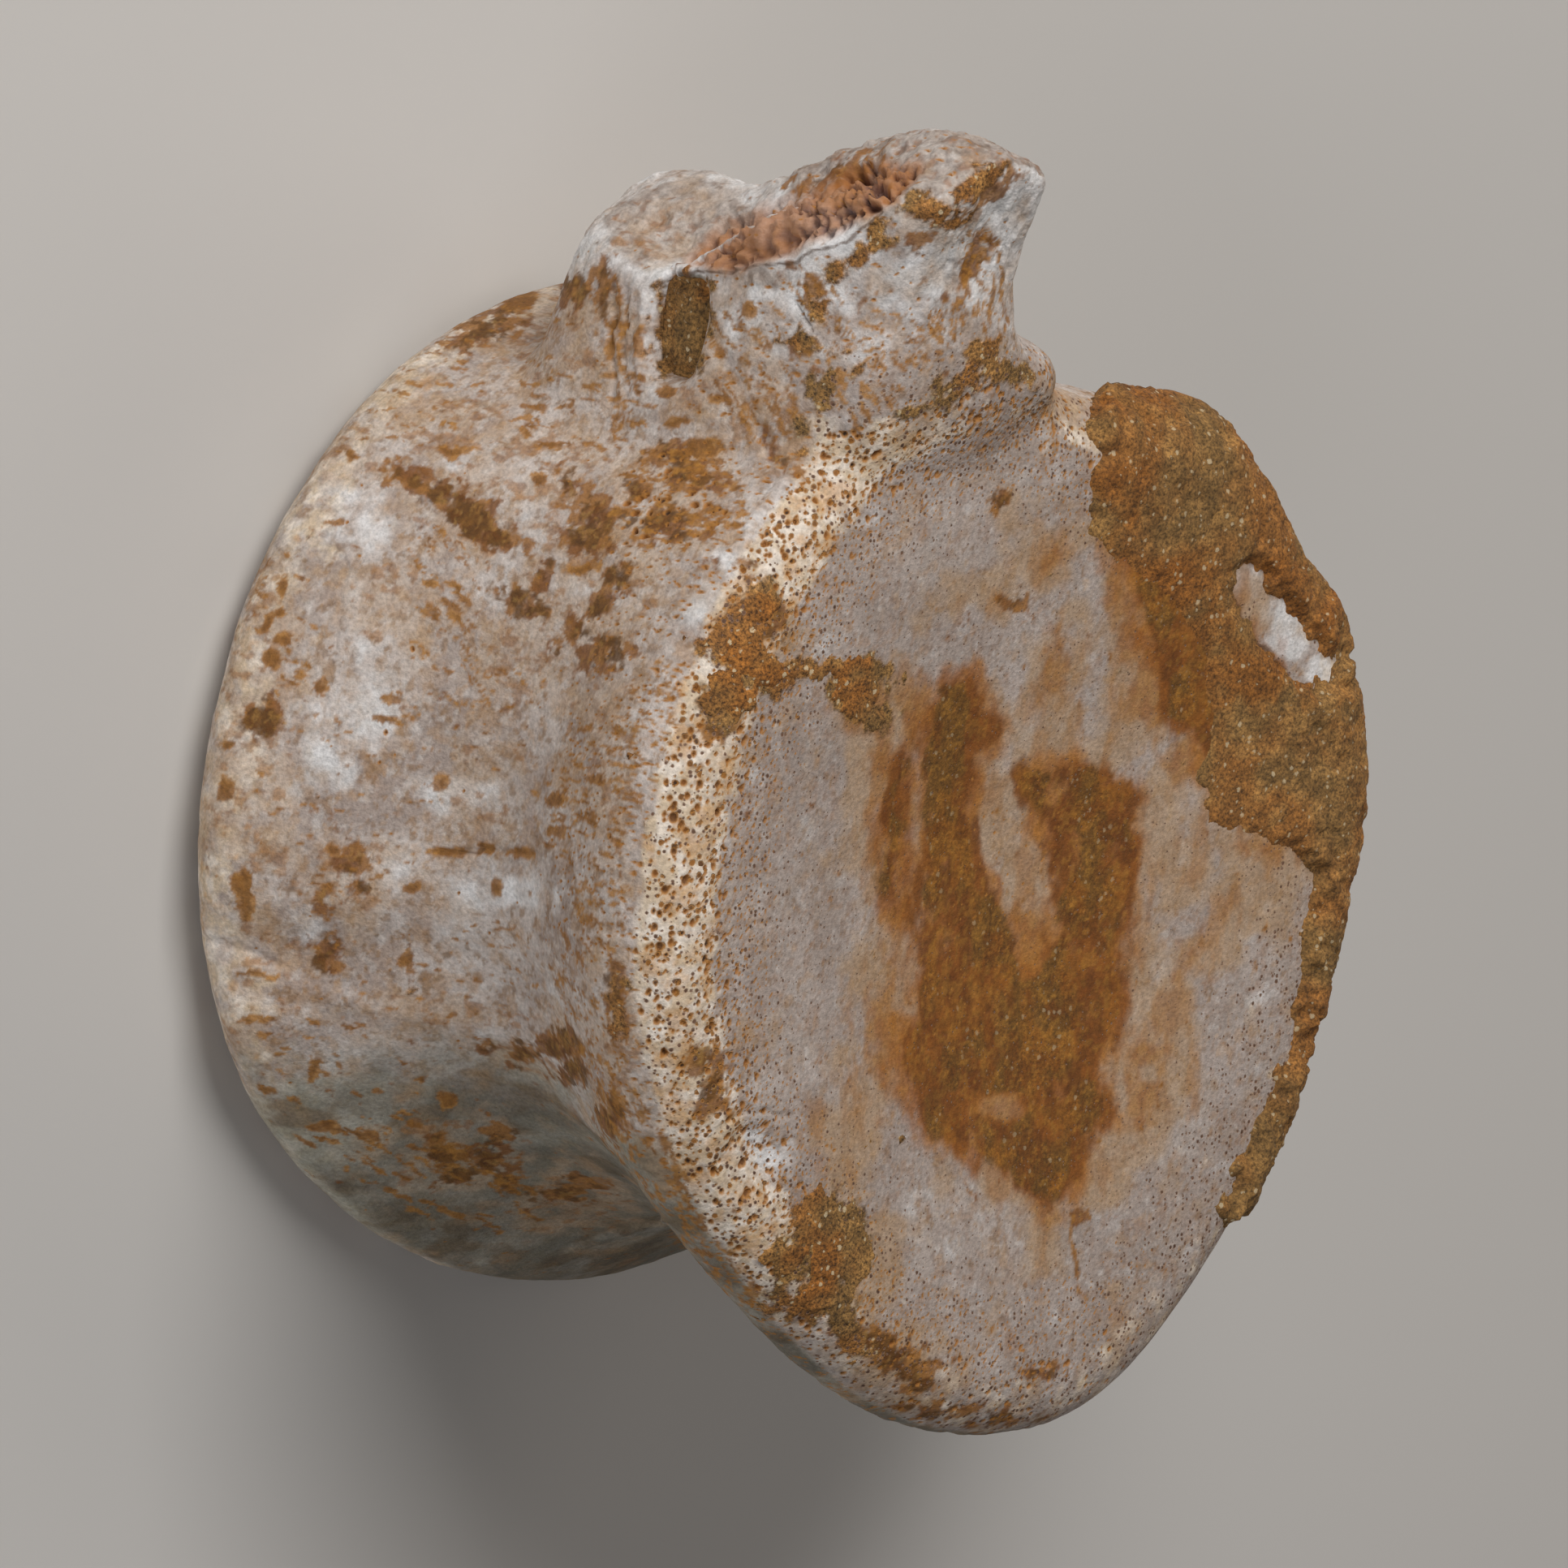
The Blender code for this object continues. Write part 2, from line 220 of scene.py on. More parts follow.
def write_points(mesh: Mesh, places: Array) -> None:
    """Moves a mesh's points to other places in mm."""
    mesh.vertices.foreach_set("co", (places * MM).astype(np.float32).ravel())
    mesh.update()


def keep_colours(mesh: Mesh, colours: Array) -> None:
    """Stores a linear colour for each point of a mesh, under the name skin."""
    stored = mesh.attributes.new("skin", "FLOAT_VECTOR", "POINT")
    stored.data.foreach_set("vector", colours.astype(np.float32).ravel())


def keep_field(mesh: Mesh, name: str, values: Array) -> None:
    """Stores a number for each point of a mesh."""
    stored = mesh.attributes.new(name, "FLOAT", "POINT")
    stored.data.foreach_set("value", values.astype(np.float32))


def blend(first: Array, second: Array, share: Array) -> Array:
    """Goes from the first colours to the second by a share for each point."""
    return first + (second - first) * share[:, None]


class Grain:
    """Random fields in space that come out the same on every run.

    A call names its lumps' width in mm, for a fractal its octaves, and its seed, in that order.
    """

    TURN = np.array([[0.36, 0.48, -0.8], [-0.8, 0.6, 0.0], [0.48, 0.64, 0.6]])
    KEYS = np.array([0x9E3779B1, 0x85EBCA77, 0xC2B2AE3D], np.uint32)
    TABLE = np.random.default_rng(5).random(1 << 16, dtype=np.float32)

    @classmethod
    def look_up(cls, mixed: Array, seed: int) -> Array:
        """Turns whole numbers into random numbers from 0 to 1."""
        mixed = mixed ^ np.uint32(seed * 0x27D4EB2F % 2**32)
        mixed = (mixed ^ (mixed >> np.uint32(15))) * np.uint32(0x2C1B3C6D)
        return cls.TABLE[mixed >> np.uint32(16)]

    @classmethod
    def chance(cls, cells: Array, seed: int) -> Array:
        """Gives each cell of space its own random number.

        Args:
            cells: Whole-number places, three to a row.
            seed: Picks one of many fields.

        Returns:
            Numbers from 0 to 1.
        """
        keys = cells.astype(np.int32).view(np.uint32) * cls.KEYS
        return cls.look_up(keys[:, 0] ^ keys[:, 1] ^ keys[:, 2], seed)

    @classmethod
    def value(cls, points: Array, size: float, seed: int) -> Array:
        """Smooth noise.

        Args:
            points: Places in mm.
            size: Width of a lump in mm.
            seed: Picks one of many fields.

        Returns:
            Numbers from -1 to 1.
        """
        place = np.ascontiguousarray(points.T) / size
        cell = np.floor(place)
        part = (place - cell).astype(np.float32)
        part = part * part * part * (part * (part * 6.0 - 15.0) + 10.0)
        keys = cell.astype(np.int32).view(np.uint32) * cls.KEYS[:, None]
        sides = [(keys[axis], keys[axis] + cls.KEYS[axis]) for axis in range(3)]
        levels = []
        for up in sides[2]:
            rows = []
            for across in sides[1]:
                both = up ^ across
                start, end = (cls.look_up(both ^ along, seed) for along in sides[0])
                rows.append(start + (end - start) * part[0])
            levels.append(rows[0] + (rows[1] - rows[0]) * part[1])
        return (levels[0] + (levels[1] - levels[0]) * part[2]) * 2.0 - 1.0

    @classmethod
    def fractal(cls, points: Array, size: float, octaves: int, seed: int) -> Array:
        """Noise with finer noise on it.

        Args:
            points: Places in mm.
            size: Width of the coarsest lumps in mm.
            octaves: How many sizes are added, each half of the one before.
            seed: Picks one of many fields.

        Returns:
            Numbers from about -1 to 1.
        """
        total = np.zeros(len(points), np.float32)
        gain, place = 1.0, points
        for octave in range(octaves):
            total += gain * cls.value(place, size, seed + octave)
            gain *= 0.5
            place = (place @ cls.TURN) * 2.03
        return total / 1.3

    @classmethod
    def grains(cls, points: Array, size: float, seed: int) -> tuple[Array, Array]:
        """Finds the nearest of many scattered grains, one to each cell of space.

        Args:
            points: Places in mm.
            size: Mean distance between the grains in mm.
            seed: Picks one of many fields.

        Returns:
            The distance to the nearest grain in mm, and that grain's random number.
        """
        place = points / size
        cell = np.floor(place).astype(np.int32)
        nearest = np.full(len(points), 9.0, np.float32)
        number = np.zeros(len(points), np.float32)
        for step in np.ndindex(3, 3, 3):
            near = cell + np.array(step) - 1
            grain = np.stack([cls.chance(near, seed + axis) for axis in range(3)], axis=1)
            away = np.linalg.norm(near + grain - place, axis=1)
            closer = away < nearest
            nearest[closer] = away[closer]
            number[closer] = grain[closer, 0]
        return nearest * size, number


class Buckets:
    """Points sorted into square cells, so that the ones near a place are found fast."""

    def __init__(self, points: Array, size: float) -> None:
        """Sorts the points.

        Args:
            points: Places, in two or three dimensions.
            size: Width of a cell.
        """
        self.size = size
        cells = np.floor(points / size).astype(np.int64)
        self.low = cells.min(0)
        self.span = cells.max(0) - self.low + 1
        keys = np.ravel_multi_index(tuple((cells - self.low).T), tuple(self.span))
        self.order = np.argsort(keys, kind="stable")
        self.keys = keys[self.order]

    def near(self, centre: Sequence[float], reach: float) -> Array:
        """Finds the points of the cells round a place.

        Args:
            centre: The place.
            reach: Every point within this distance is found, and some others.

        Returns:
            The points' numbers.
        """
        centre = np.asarray(centre)
        first = np.floor((centre - reach) / self.size).astype(np.int64) - self.low
        last = np.floor((centre + reach) / self.size).astype(np.int64) - self.low
        first = np.maximum(first, 0)
        last = np.minimum(last, self.span - 1)
        if np.any(last < first):
            return np.empty(0, np.int64)
        found = []
        for row in np.ndindex(*(last - first + 1)[:-1]):
            start = np.ravel_multi_index((*(first[:-1] + row), first[-1]), tuple(self.span))
            ends = (start, start + last[-1] - first[-1] + 1)
            low, high = np.searchsorted(self.keys, ends)
            found.append(self.order[low:high])
        return np.concatenate(found)


@dataclass(frozen=True)
class PhotoView:
    """The photograph's point of view, in mm of the model's frame."""

    right: Triple = (0.6982, 0.0515, 0.7140)
    up: Triple = (0.0893, 0.9833, -0.1583)
    towards: Triple = (-0.7103, 0.1743, 0.6820)
    aim: Triple = (-1.43, -2.15, 22.93)
    distance: float = 520.0
    sensor: float = 36.0
    clip: Pair = (0.02, 40.0)  # metres

    @property
    def focal_px(self) -> float:
        """The lens's focal length in pixels."""
        return self.distance * PX_PER_MM

    def project(self, points: Array) -> tuple[Array, Array]:
        """Finds where points show in the photograph's frame.

        Args:
            points: Places in mm.

        Returns:
            Pixels from the frame's upper left corner, and the distance to the camera in mm.
        """
        away = points - np.array(self.aim)
        depth = self.distance - away @ np.array(self.towards)
        across = self.focal_px * (away @ np.array(self.right)) / depth
        rise = self.focal_px * (away @ np.array(self.up)) / depth
        return np.stack([FRAME_PX / 2 + across, FRAME_PX / 2 - rise], axis=1), depth

    def make_camera(self) -> Body:
        """Places the scene's camera at the point of view."""
        data = bpy.data.cameras.new("photo_view")
        data.lens = self.sensor * self.focal_px / FRAME_PX
        data.sensor_width = self.sensor
        data.clip_start, data.clip_end = self.clip
        camera = add_object("photo_view", data)
        axes = [np.array(axis) for axis in (self.right, self.up, self.towards)]
        camera.matrix_world = pose(axes, np.array(self.aim) + axes[2] * self.distance)
        bpy.context.scene.camera = camera
        return camera


class Zone(Enum):
    """Parts of the surface that a mark on the photograph can lie on."""

    FACE = "front joint face with its rim"
    SIDE = "near flank and root of the arch"
    BOTH = "either"


def circle_round(places: Sequence[Pair], margin: float = 0.0) -> Triple:
    """Finds the middle and the radius of a circle round some pixels.

    Args:
        places: The pixels.
        margin: How far the circle has to stand off them.

    Returns:
        The middle's two coordinates and the radius.
    """
    low, high = np.min(places, 0), np.max(places, 0)
    middle = (low + high) / 2.0
    return middle[0], middle[1], float(np.hypot(*(high - low))) / 2.0 + margin


@dataclass(frozen=True)
class Blot:
    """An oval mark, in the photograph's pixels, turned clockwise by some degrees."""

    x: float
    y: float
    half_width: float
    half_height: float
    turn: float = 0.0

    @property
    def reach(self) -> Triple:
        """The middle and the radius of a circle round the mark."""
        return self.x, self.y, max(self.half_width, self.half_height)

    def edge(self, pixels: Array) -> Array:
        """Measures how far inside the mark each pixel lies.

        Args:
            pixels: Places in the photograph's frame.

        Returns:
            Pixels from the mark's edge, less than 0 outside.
        """
        angle = math.radians(self.turn)
        away = pixels - (self.x, self.y)
        along = away[:, 0] * math.cos(angle) + away[:, 1] * math.sin(angle)
        across = away[:, 1] * math.cos(angle) - away[:, 0] * math.sin(angle)
        share = np.hypot(along / self.half_width, across / self.half_height)
        return (1.0 - share) * min(self.half_width, self.half_height)


@dataclass(frozen=True)
class Outline:
    """A mark inside a closed line of pixels."""

    corners: tuple[Pair, ...]

    @property
    def reach(self) -> Triple:
        """The middle and the radius of a circle round the mark."""
        return circle_round(self.corners)

    def edge(self, pixels: Array) -> Array:
        """Measures how far inside the mark each pixel lies.

        Args:
            pixels: Places in the photograph's frame.

        Returns:
            Pixels from the mark's edge, less than 0 outside.
        """
        nearest = np.full(len(pixels), 1e9)
        inside = np.zeros(len(pixels), bool)
        ends = np.array(self.corners, float)
        for start, end in zip(ends, np.roll(ends, -1, axis=0)):
            side = end - start
            away = pixels - start
            share = np.clip(away @ side / (side @ side), 0.0, 1.0)
            nearest = np.minimum(nearest, np.linalg.norm(away - share[:, None] * side, axis=1))
            if start[1] != end[1]:
                crosses = (start[1] > pixels[:, 1]) != (end[1] > pixels[:, 1])
                at = side[0] * (pixels[:, 1] - start[1]) / side[1] + start[0]
                inside ^= crosses & (pixels[:, 0] < at)
        return np.where(inside, nearest, -nearest)


@dataclass(frozen=True)
class Track:
    """A mark along an open line of pixels."""

    points: tuple[Pair, ...]
    half_width: float

    BLUNT = 0.05  # the width left at the very end is the root of this share

    @property
    def reach(self) -> Triple:
        """The middle and the radius of a circle round the mark."""
        return circle_round(self.points, self.half_width)

    def measure(self, pixels: Array) -> tuple[Array, Array]:
        """Finds each pixel's place along the line and beside it.

        Args:
            pixels: Places in the photograph's frame.

        Returns:
            Pixels along the line, and pixels to its right, less than 0 to its left.
        """
        nearest = np.full(len(pixels), 1e9)
        along = np.zeros(len(pixels))
        beside = np.zeros(len(pixels))
        ends = np.array(self.points, float)
        gone = 0.0
        for start, end in zip(ends[:-1], ends[1:]):
            side = end - start
            length = float(np.hypot(*side))
            away = pixels - start
            share = np.clip(away @ side / length**2, 0.0, 1.0)
            far = np.linalg.norm(away - share[:, None] * side, axis=1)
            closer = far < nearest
            turn = np.sign(side[0] * away[:, 1] - side[1] * away[:, 0])
            nearest = np.where(closer, far, nearest)
            along = np.where(closer, gone + share * length, along)
            beside = np.where(closer, far * np.where(turn == 0.0, 1.0, turn), beside)
            gone += length
        return along, beside

    def edge(self, pixels: Array) -> Array:
        """Pixels from the mark's edge, less than 0 outside."""
        along, beside = self.measure(pixels)
        length = float(np.hypot(*np.diff(np.array(self.points, float), axis=0).T).sum())
        from_end = np.minimum(along, length - along) / (2.0 * self.half_width)
        taper = np.sqrt(np.clip(from_end, self.BLUNT, 1.0))
        return self.half_width * taper - np.abs(beside)


Mark = Blot | Outline | Track
Blots, Marks = tuple[Blot, ...], tuple[Mark, ...]


@dataclass(frozen=True)
class Streaks:
    """A drift of short streaks round a place in the photograph, all sloping one way."""

    area: Blot
    slope: float  # degrees
    length: Pair
    half_width: Pair
    count: int

    SLOPE_SPREAD = 7.0  # degrees
    BEND_SPREAD = 0.08  # of half the length

    def scatter(self, dice: np.random.Generator) -> list[Track]:
        """Lays out the streaks.

        Args:
            dice: The source of chance.

        Returns:
            One track for each streak.
        """
        tracks = []
        turn = math.radians(self.area.turn)
        for _ in range(self.count):
            out, round_about = math.sqrt(dice.uniform()), dice.uniform(0.0, math.tau)
            along = out * math.cos(round_about) * self.area.half_width
            across = out * math.sin(round_about) * self.area.half_height
            x = self.area.x + along * math.cos(turn) - across * math.sin(turn)
            y = self.area.y + along * math.sin(turn) + across * math.cos(turn)
            angle = math.radians(self.slope + dice.normal(0.0, self.SLOPE_SPREAD))
            half = dice.uniform(*self.length) / 2.0
            step = np.array([math.cos(angle), math.sin(angle)]) * half
            bend = np.array([-step[1], step[0]]) * dice.normal(0.0, self.BEND_SPREAD)
            spots = ((x, y) - step, (x, y) + bend, (x, y) + step)
            tracks.append(Track(tuple(map(tuple, spots)), dice.uniform(*self.half_width)))
        return tracks


def blots(*ovals: tuple[float, ...]) -> Blots:
    """Makes an oval mark of each row of middle, half sizes and turn."""
    return tuple(Blot(*oval) for oval in ovals)


@dataclass(frozen=True)
class FaceMarks:
    """Marks on the front joint face, in the photograph's pixels."""

    inner_film: Outline = Outline((
        (1385, 690), (1402, 750), (1418, 820), (1440, 872), (1478, 930), (1500, 985), (1560, 1000),
        (1600, 800), (1540, 680), (1450, 640),
    ))
    middle_film: Marks = (
        Outline((
            (1160, 837), (1198, 831), (1213, 862), (1235, 893), (1222, 915), (1198, 930), (1207, 961),
            (1198, 998), (1204, 1029), (1213, 1060), (1229, 1091), (1247, 1128), (1257, 1166), (1266, 1197),
            (1285, 1184), (1294, 1147), (1300, 1110), (1297, 1073), (1291, 1036), (1272, 1005), (1250, 980),
            (1242, 955), (1260, 940), (1297, 940), (1340, 943), (1359, 955), (1402, 967), (1415, 986),
            (1402, 1011), (1412, 1042), (1399, 1079), (1390, 1122), (1390, 1160), (1384, 1197), (1390, 1222),
            (1381, 1259), (1371, 1290), (1353, 1315), (1371, 1352), (1378, 1377), (1353, 1395), (1340, 1420),
            (1328, 1457), (1309, 1476), (1260, 1470), (1241, 1445), (1204, 1432), (1179, 1414), (1154, 1408),
            (1136, 1383), (1117, 1346), (1105, 1321), (1108, 1284), (1111, 1259), (1130, 1253), (1127, 1209),
            (1130, 1172), (1127, 1135), (1130, 1091), (1139, 1048), (1142, 1005), (1136, 955), (1130, 924),
            (1142, 881),
        )),
        Track(((1114, 925), (1101, 990), (1098, 1060), (1102, 1140)), 15.0),
    )
    bare_spots: Blots = blots(
        (1232, 1362, 22, 12), (1268, 1088, 14, 30), (1228, 1000, 12, 40),
    )
    rust_spots: Blots = blots(
        (1232, 617, 12, 12, 20), (1246, 747, 12, 8, 10), (1286, 1690, 14, 6), (1328, 1500, 7, 9),
        (1160, 1735, 40, 4), (1240, 1752, 26, 4),
    )
    split: Track = Track(((1317, 1496), (1322, 1530), (1330, 1570), (1334, 1602)), 2.6)
    rim_sand: Blots = blots(
        (762, 1245, 12, 30), (930, 745, 26, 36, 14), (905, 800, 38, 44), (890, 870, 30, 32),
        (945, 836, 40, 20), (1056, 846, 42, 40), (1086, 884, 22, 22), (995, 826, 46, 14),
        (1020, 1530, 50, 62), (975, 1556, 34, 30), (1016, 1600, 44, 34), (1044, 1640, 34, 18, 30),
        (960, 1600, 22, 22),
    )
    rim_stains: Blots = blots(
        (1070, 1650, 40, 20, 30), (1110, 1680, 36, 22, 10), (1130, 1700, 20, 20), (880, 900, 16, 10),
        (866, 1304, 14, 24), (880, 1344, 18, 36), (920, 700, 20, 10), (940, 760, 30, 30),
    )
    haze: Blots = blots(
        (1455, 770, 100, 130), (1400, 870, 60, 60), (1265, 1150, 170, 320), (1290, 1440, 110, 60),
        (1425, 1290, 50, 60), (1492, 1160, 30, 56), (1440, 1040, 60, 110), (1570, 1050, 70, 36),
        (1300, 690, 40, 40), (1110, 880, 50, 70), (1290, 850, 26, 60), (1235, 620, 30, 24),
        (1040, 1440, 26, 60), (1080, 1560, 30, 90), (1110, 1670, 70, 40, 30), (940, 760, 40, 50),
        (1330, 960, 60, 50), (1285, 1510, 20, 50), (1380, 1400, 60, 50), (1200, 740, 50, 30),
        (1412, 1298, 30, 30), (1480, 1160, 30, 30), (1425, 1275, 24, 30), (1300, 480, 40, 20),
        (1440, 1010, 40, 60), (1540, 1110, 60, 50), (1375, 720, 24, 60), (1330, 800, 30, 60),
        (1085, 1000, 40, 130), (1084, 1250, 40, 130), (1050, 1370, 60, 60), (1430, 1300, 60, 110),
    )
    island_edge: Track = Track(
        ((1514, 706), (1522, 745), (1538, 775), (1562, 806), (1590, 838)), 3.5
    )
    island_white: Blots = blots(
        (1538, 720, 24, 24), (1580, 775, 30, 44, -40), (1625, 828, 24, 18),
    )
    deep_glow: Blots = blots(
        (1414, 1296, 20, 24, -20), (1470, 1180, 12, 26, 20), (1100, 1010, 18, 80), (1100, 1140, 14, 40),
        (1395, 760, 22, 60), (1440, 850, 60, 50), (1300, 830, 14, 34), (1290, 1500, 14, 20),
        (1130, 890, 20, 40), (1270, 1180, 24, 60), (1300, 690, 16, 20), (1060, 860, 40, 40),
        (1560, 1045, 50, 14), (1232, 1362, 42, 32), (1378, 740, 18, 60, -10), (1410, 850, 26, 40, -30),
        (1462, 940, 24, 34, -36), (1086, 1290, 18, 60), (1410, 1360, 24, 30), (1090, 930, 16, 50),
    )


@dataclass(frozen=True)
class SideMarks:
    """Marks on the near flank and the arch's root, in the photograph's pixels."""

    stains: Blots = blots(
        # long slanting stain and the three patches under the pit
        (508, 590, 28, 12, 20), (545, 610, 36, 18, 32), (585, 640, 44, 26, 40), (612, 662, 28, 15, 15),
        (728, 650, 28, 38), (700, 604, 8, 18), (640, 735, 20, 14), (668, 712, 14, 16), (656, 752, 22, 8),
        (758, 712, 14, 22, 30), (736, 748, 26, 15, -45), (706, 782, 22, 12, -50), (742, 806, 32, 19, -15),
        # near the rear rim
        (325, 888, 22, 22), (332, 862, 12, 12),
        # low on the flank
        (430, 1056, 18, 24), (396, 1106, 9, 14), (440, 1090, 10, 12), (405, 1182, 14, 24, 10),
        (612, 1290, 16, 11), (648, 1298, 26, 14), (690, 1288, 26, 22), (706, 1318, 18, 16),
        (760, 1230, 13, 40), (756, 1372, 14, 26), (541, 1410, 11, 24, -20), (566, 1446, 22, 11),
        (604, 1430, 26, 14, 10), (612, 1400, 14, 16), (622, 1452, 16, 16), (700, 1470, 40, 12, -10),
        # on the arch's root
        (712, 358, 20, 18), (742, 356, 11, 30), (600, 405, 40, 15, -24), (996, 440, 14, 9, 30),
        (1165, 382, 22, 18, -30), (960, 560, 20, 8, 50), (850, 574, 20, 12), (820, 640, 30, 16),
        (876, 590, 16, 14), (1002, 356, 22, 6, 52), (1128, 300, 16, 8, -30), (1206, 320, 10, 22, 30),
        (1040, 208, 40, 7, -22), (1230, 232, 24, 8, -36),
        # on the spongy bone
        (826, 562, 32, 12, -6), (852, 590, 24, 12, 10), (800, 640, 26, 8), (786, 604, 12, 14),
        (840, 656, 30, 8),
    )
    sand: Blots = blots(
        (1048, 318, 36, 20, -28), (1034, 340, 20, 12), (1082, 288, 24, 13, -45), (1140, 254, 36, 16, 8),
        (1176, 262, 22, 16, 30), (1194, 238, 34, 15, -38), (1212, 214, 17, 13, -30),
        (1010, 384, 10, 22, -24), (986, 420, 22, 11, 24), (1018, 484, 18, 40, 38), (992, 528, 15, 28, 22),
        (1204, 440, 36, 20, -30), (1172, 474, 46, 18, -28), (1236, 458, 34, 18, 10),
        (1146, 500, 26, 11, -20), (838, 352, 30, 14),
    )
    rust: Blots = blots(
        (396, 846, 9, 12), (408, 1046, 8, 8), (345, 756, 13, 6), (326, 768, 8, 11), (352, 722, 8, 14),
        (350, 790, 12, 9), (335, 815, 12, 14), (476, 864, 12, 6, 10), (474, 890, 22, 6, 10),
        (540, 960, 8, 13), (686, 984, 15, 13), (682, 1026, 12, 8), (676, 1042, 9, 4), (735, 963, 15, 6),
        (276, 972, 12, 16), (280, 915, 8, 7), (610, 1092, 7, 12), (508, 1096, 9, 8), (560, 556, 26, 7),
        (432, 560, 9, 6), (412, 645, 14, 5), (665, 590, 11, 8), (320, 1200, 28, 5),
        (318, 1256, 26, 5, -12), (385, 1320, 8, 16), (300, 1100, 14, 34), (552, 1352, 14, 12),
        (500, 1184, 10, 12), (868, 552, 26, 12), (836, 520, 20, 8), (1165, 382, 16, 14),
        (925, 380, 13, 10), (720, 700, 20, 8), (400, 1385, 12, 8), (330, 1345, 9, 6), (820, 480, 12, 8),
        (552, 1050, 24, 8), (598, 1048, 16, 9), (641, 1051, 16, 8), (884, 490, 12, 6),
        (640, 372, 24, 12, -20), (790, 420, 5, 22),
    )
    haze: Blots = blots(
        (320, 800, 60, 140), (300, 960, 60, 110), (330, 1080, 60, 80), (300, 1250, 40, 60),
        (600, 560, 160, 80), (700, 420, 120, 70), (730, 700, 90, 130), (740, 940, 60, 140),
        (830, 620, 90, 80), (560, 640, 90, 60), (440, 1080, 70, 60), (700, 1290, 110, 50),
        (760, 1280, 40, 120), (640, 820, 60, 60), (600, 960, 60, 80), (550, 1420, 120, 60),
        (700, 1480, 90, 50), (900, 480, 80, 80), (1150, 270, 80, 50), (1180, 370, 60, 50),
        (800, 290, 70, 40), (480, 560, 120, 50), (480, 740, 80, 60), (560, 1250, 160, 30),
        (1010, 500, 70, 70), (1200, 470, 90, 50), (820, 1400, 30, 80), (340, 1180, 70, 30),
    )
    white: Blots = blots(
        (795, 400, 10, 60), (828, 340, 44, 12, -8), (435, 740, 14, 50), (420, 900, 60, 70),
        (960, 360, 60, 24, -15), (1090, 340, 60, 40), (1200, 300, 40, 60, -30), (1180, 220, 60, 12),
        (960, 400, 50, 40), (440, 640, 50, 50), (540, 980, 60, 30), (480, 1070, 26, 16),
        (720, 720, 26, 20), (900, 700, 12, 90, 35), (620, 1100, 90, 24), (1020, 430, 30, 16),
        # the first two blots on the next line are painted light on the arch's front, not paler bone
        (1225, 320, 40, 80), (1100, 400, 90, 40), (1050, 360, 60, 30), (1250, 230, 36, 30),
        (926, 1440, 40, 40, 20), (905, 1480, 16, 50, -34), (840, 1160, 10, 120), (985, 600, 14, 60, 40),
    )
    moss: Blots = blots((580, 1450, 300, 110, 14), (760, 1470, 120, 80, 20))
    pores: Blots = blots(
        (466, 911, 4, 5), (564, 974, 3, 3), (560, 1106, 3, 3), (600, 1157, 3, 3), (700, 1105, 4, 3),
        (790, 635, 7, 4, 30), (778, 648, 7, 7), (800, 622, 9, 4), (815, 575, 5, 4), (836, 566, 6, 3),
        (820, 640, 5, 4), (850, 600, 7, 5), (462, 942, 4, 3), (425, 640, 3, 3), (500, 795, 5, 4),
    )
    streaks: tuple[Streaks, ...] = (
        Streaks(Blot(540, 738, 34, 26, 40), 38.0, (20, 44), (2.5, 5.0), 9),
        Streaks(Blot(560, 810, 70, 46, 40), 42.0, (10, 30), (1.3, 2.4), 34),
        Streaks(Blot(560, 690, 60, 40, 30), 35.0, (10, 26), (1.0, 1.8), 24),
        Streaks(Blot(735, 1000, 46, 140), 14.0, (8, 24), (1.1, 2.6), 84),
        Streaks(Blot(792, 900, 36, 90, 12), 8.0, (5, 14), (1.0, 2.2), 110),
        Streaks(Blot(740, 1110, 36, 60), 40.0, (6, 12), (1.4, 2.8), 30),
        Streaks(Blot(735, 1230, 44, 110, -14), 52.0, (8, 20), (1.1, 2.3), 80),
        Streaks(Blot(800, 1420, 30, 120, -30), 60.0, (10, 30), (1.2, 2.8), 70),
        Streaks(Blot(870, 1540, 26, 100, -42), 48.0, (8, 22), (1.4, 2.6), 60),
        Streaks(Blot(930, 470, 44, 90, -30), 55.0, (10, 34), (1.2, 2.6), 44),
        Streaks(Blot(1095, 420, 70, 34, 12), 24.0, (7, 18), (1.0, 2.0), 60),
        Streaks(Blot(1215, 345, 26, 80, -8), 86.0, (14, 40), (1.1, 2.0), 50),
        Streaks(Blot(1170, 395, 30, 24, -20), 70.0, (10, 24), (1.6, 3.0), 20),
        Streaks(Blot(760, 445, 14, 90), 88.0, (16, 50), (1.4, 2.8), 12),
        Streaks(Blot(1060, 490, 60, 46, -20), 56.0, (8, 28), (1.6, 3.2), 44),
        Streaks(Blot(1000, 390, 50, 60), 54.0, (14, 40), (1.1, 2.4), 20),
        Streaks(Blot(836, 620, 84, 70), 4.0, (8, 30), (1.4, 5.0), 60),
        Streaks(Blot(350, 770, 44, 90), 24.0, (8, 22), (1.6, 3.8), 24),
        Streaks(Blot(560, 470, 170, 60, -30), 8.0, (6, 20), (1.2, 3.0), 56),
        Streaks(Blot(720, 500, 90, 60), 6.0, (10, 30), (1.6, 3.8), 40),
        Streaks(Blot(600, 900, 130, 90), 20.0, (4, 12), (0.8, 1.8), 60),
        Streaks(Blot(430, 980, 120, 140), 12.0, (4, 14), (1.0, 2.4), 60),
        Streaks(Blot(560, 1190, 170, 60), 10.0, (4, 14), (1.0, 2.4), 60),
        Streaks(Blot(430, 1330, 120, 70, 30), 22.0, (8, 26), (1.5, 3.6), 34),
        Streaks(Blot(520, 1450, 150, 50, 18), 28.0, (16, 50), (1.6, 4.0), 34),
    )
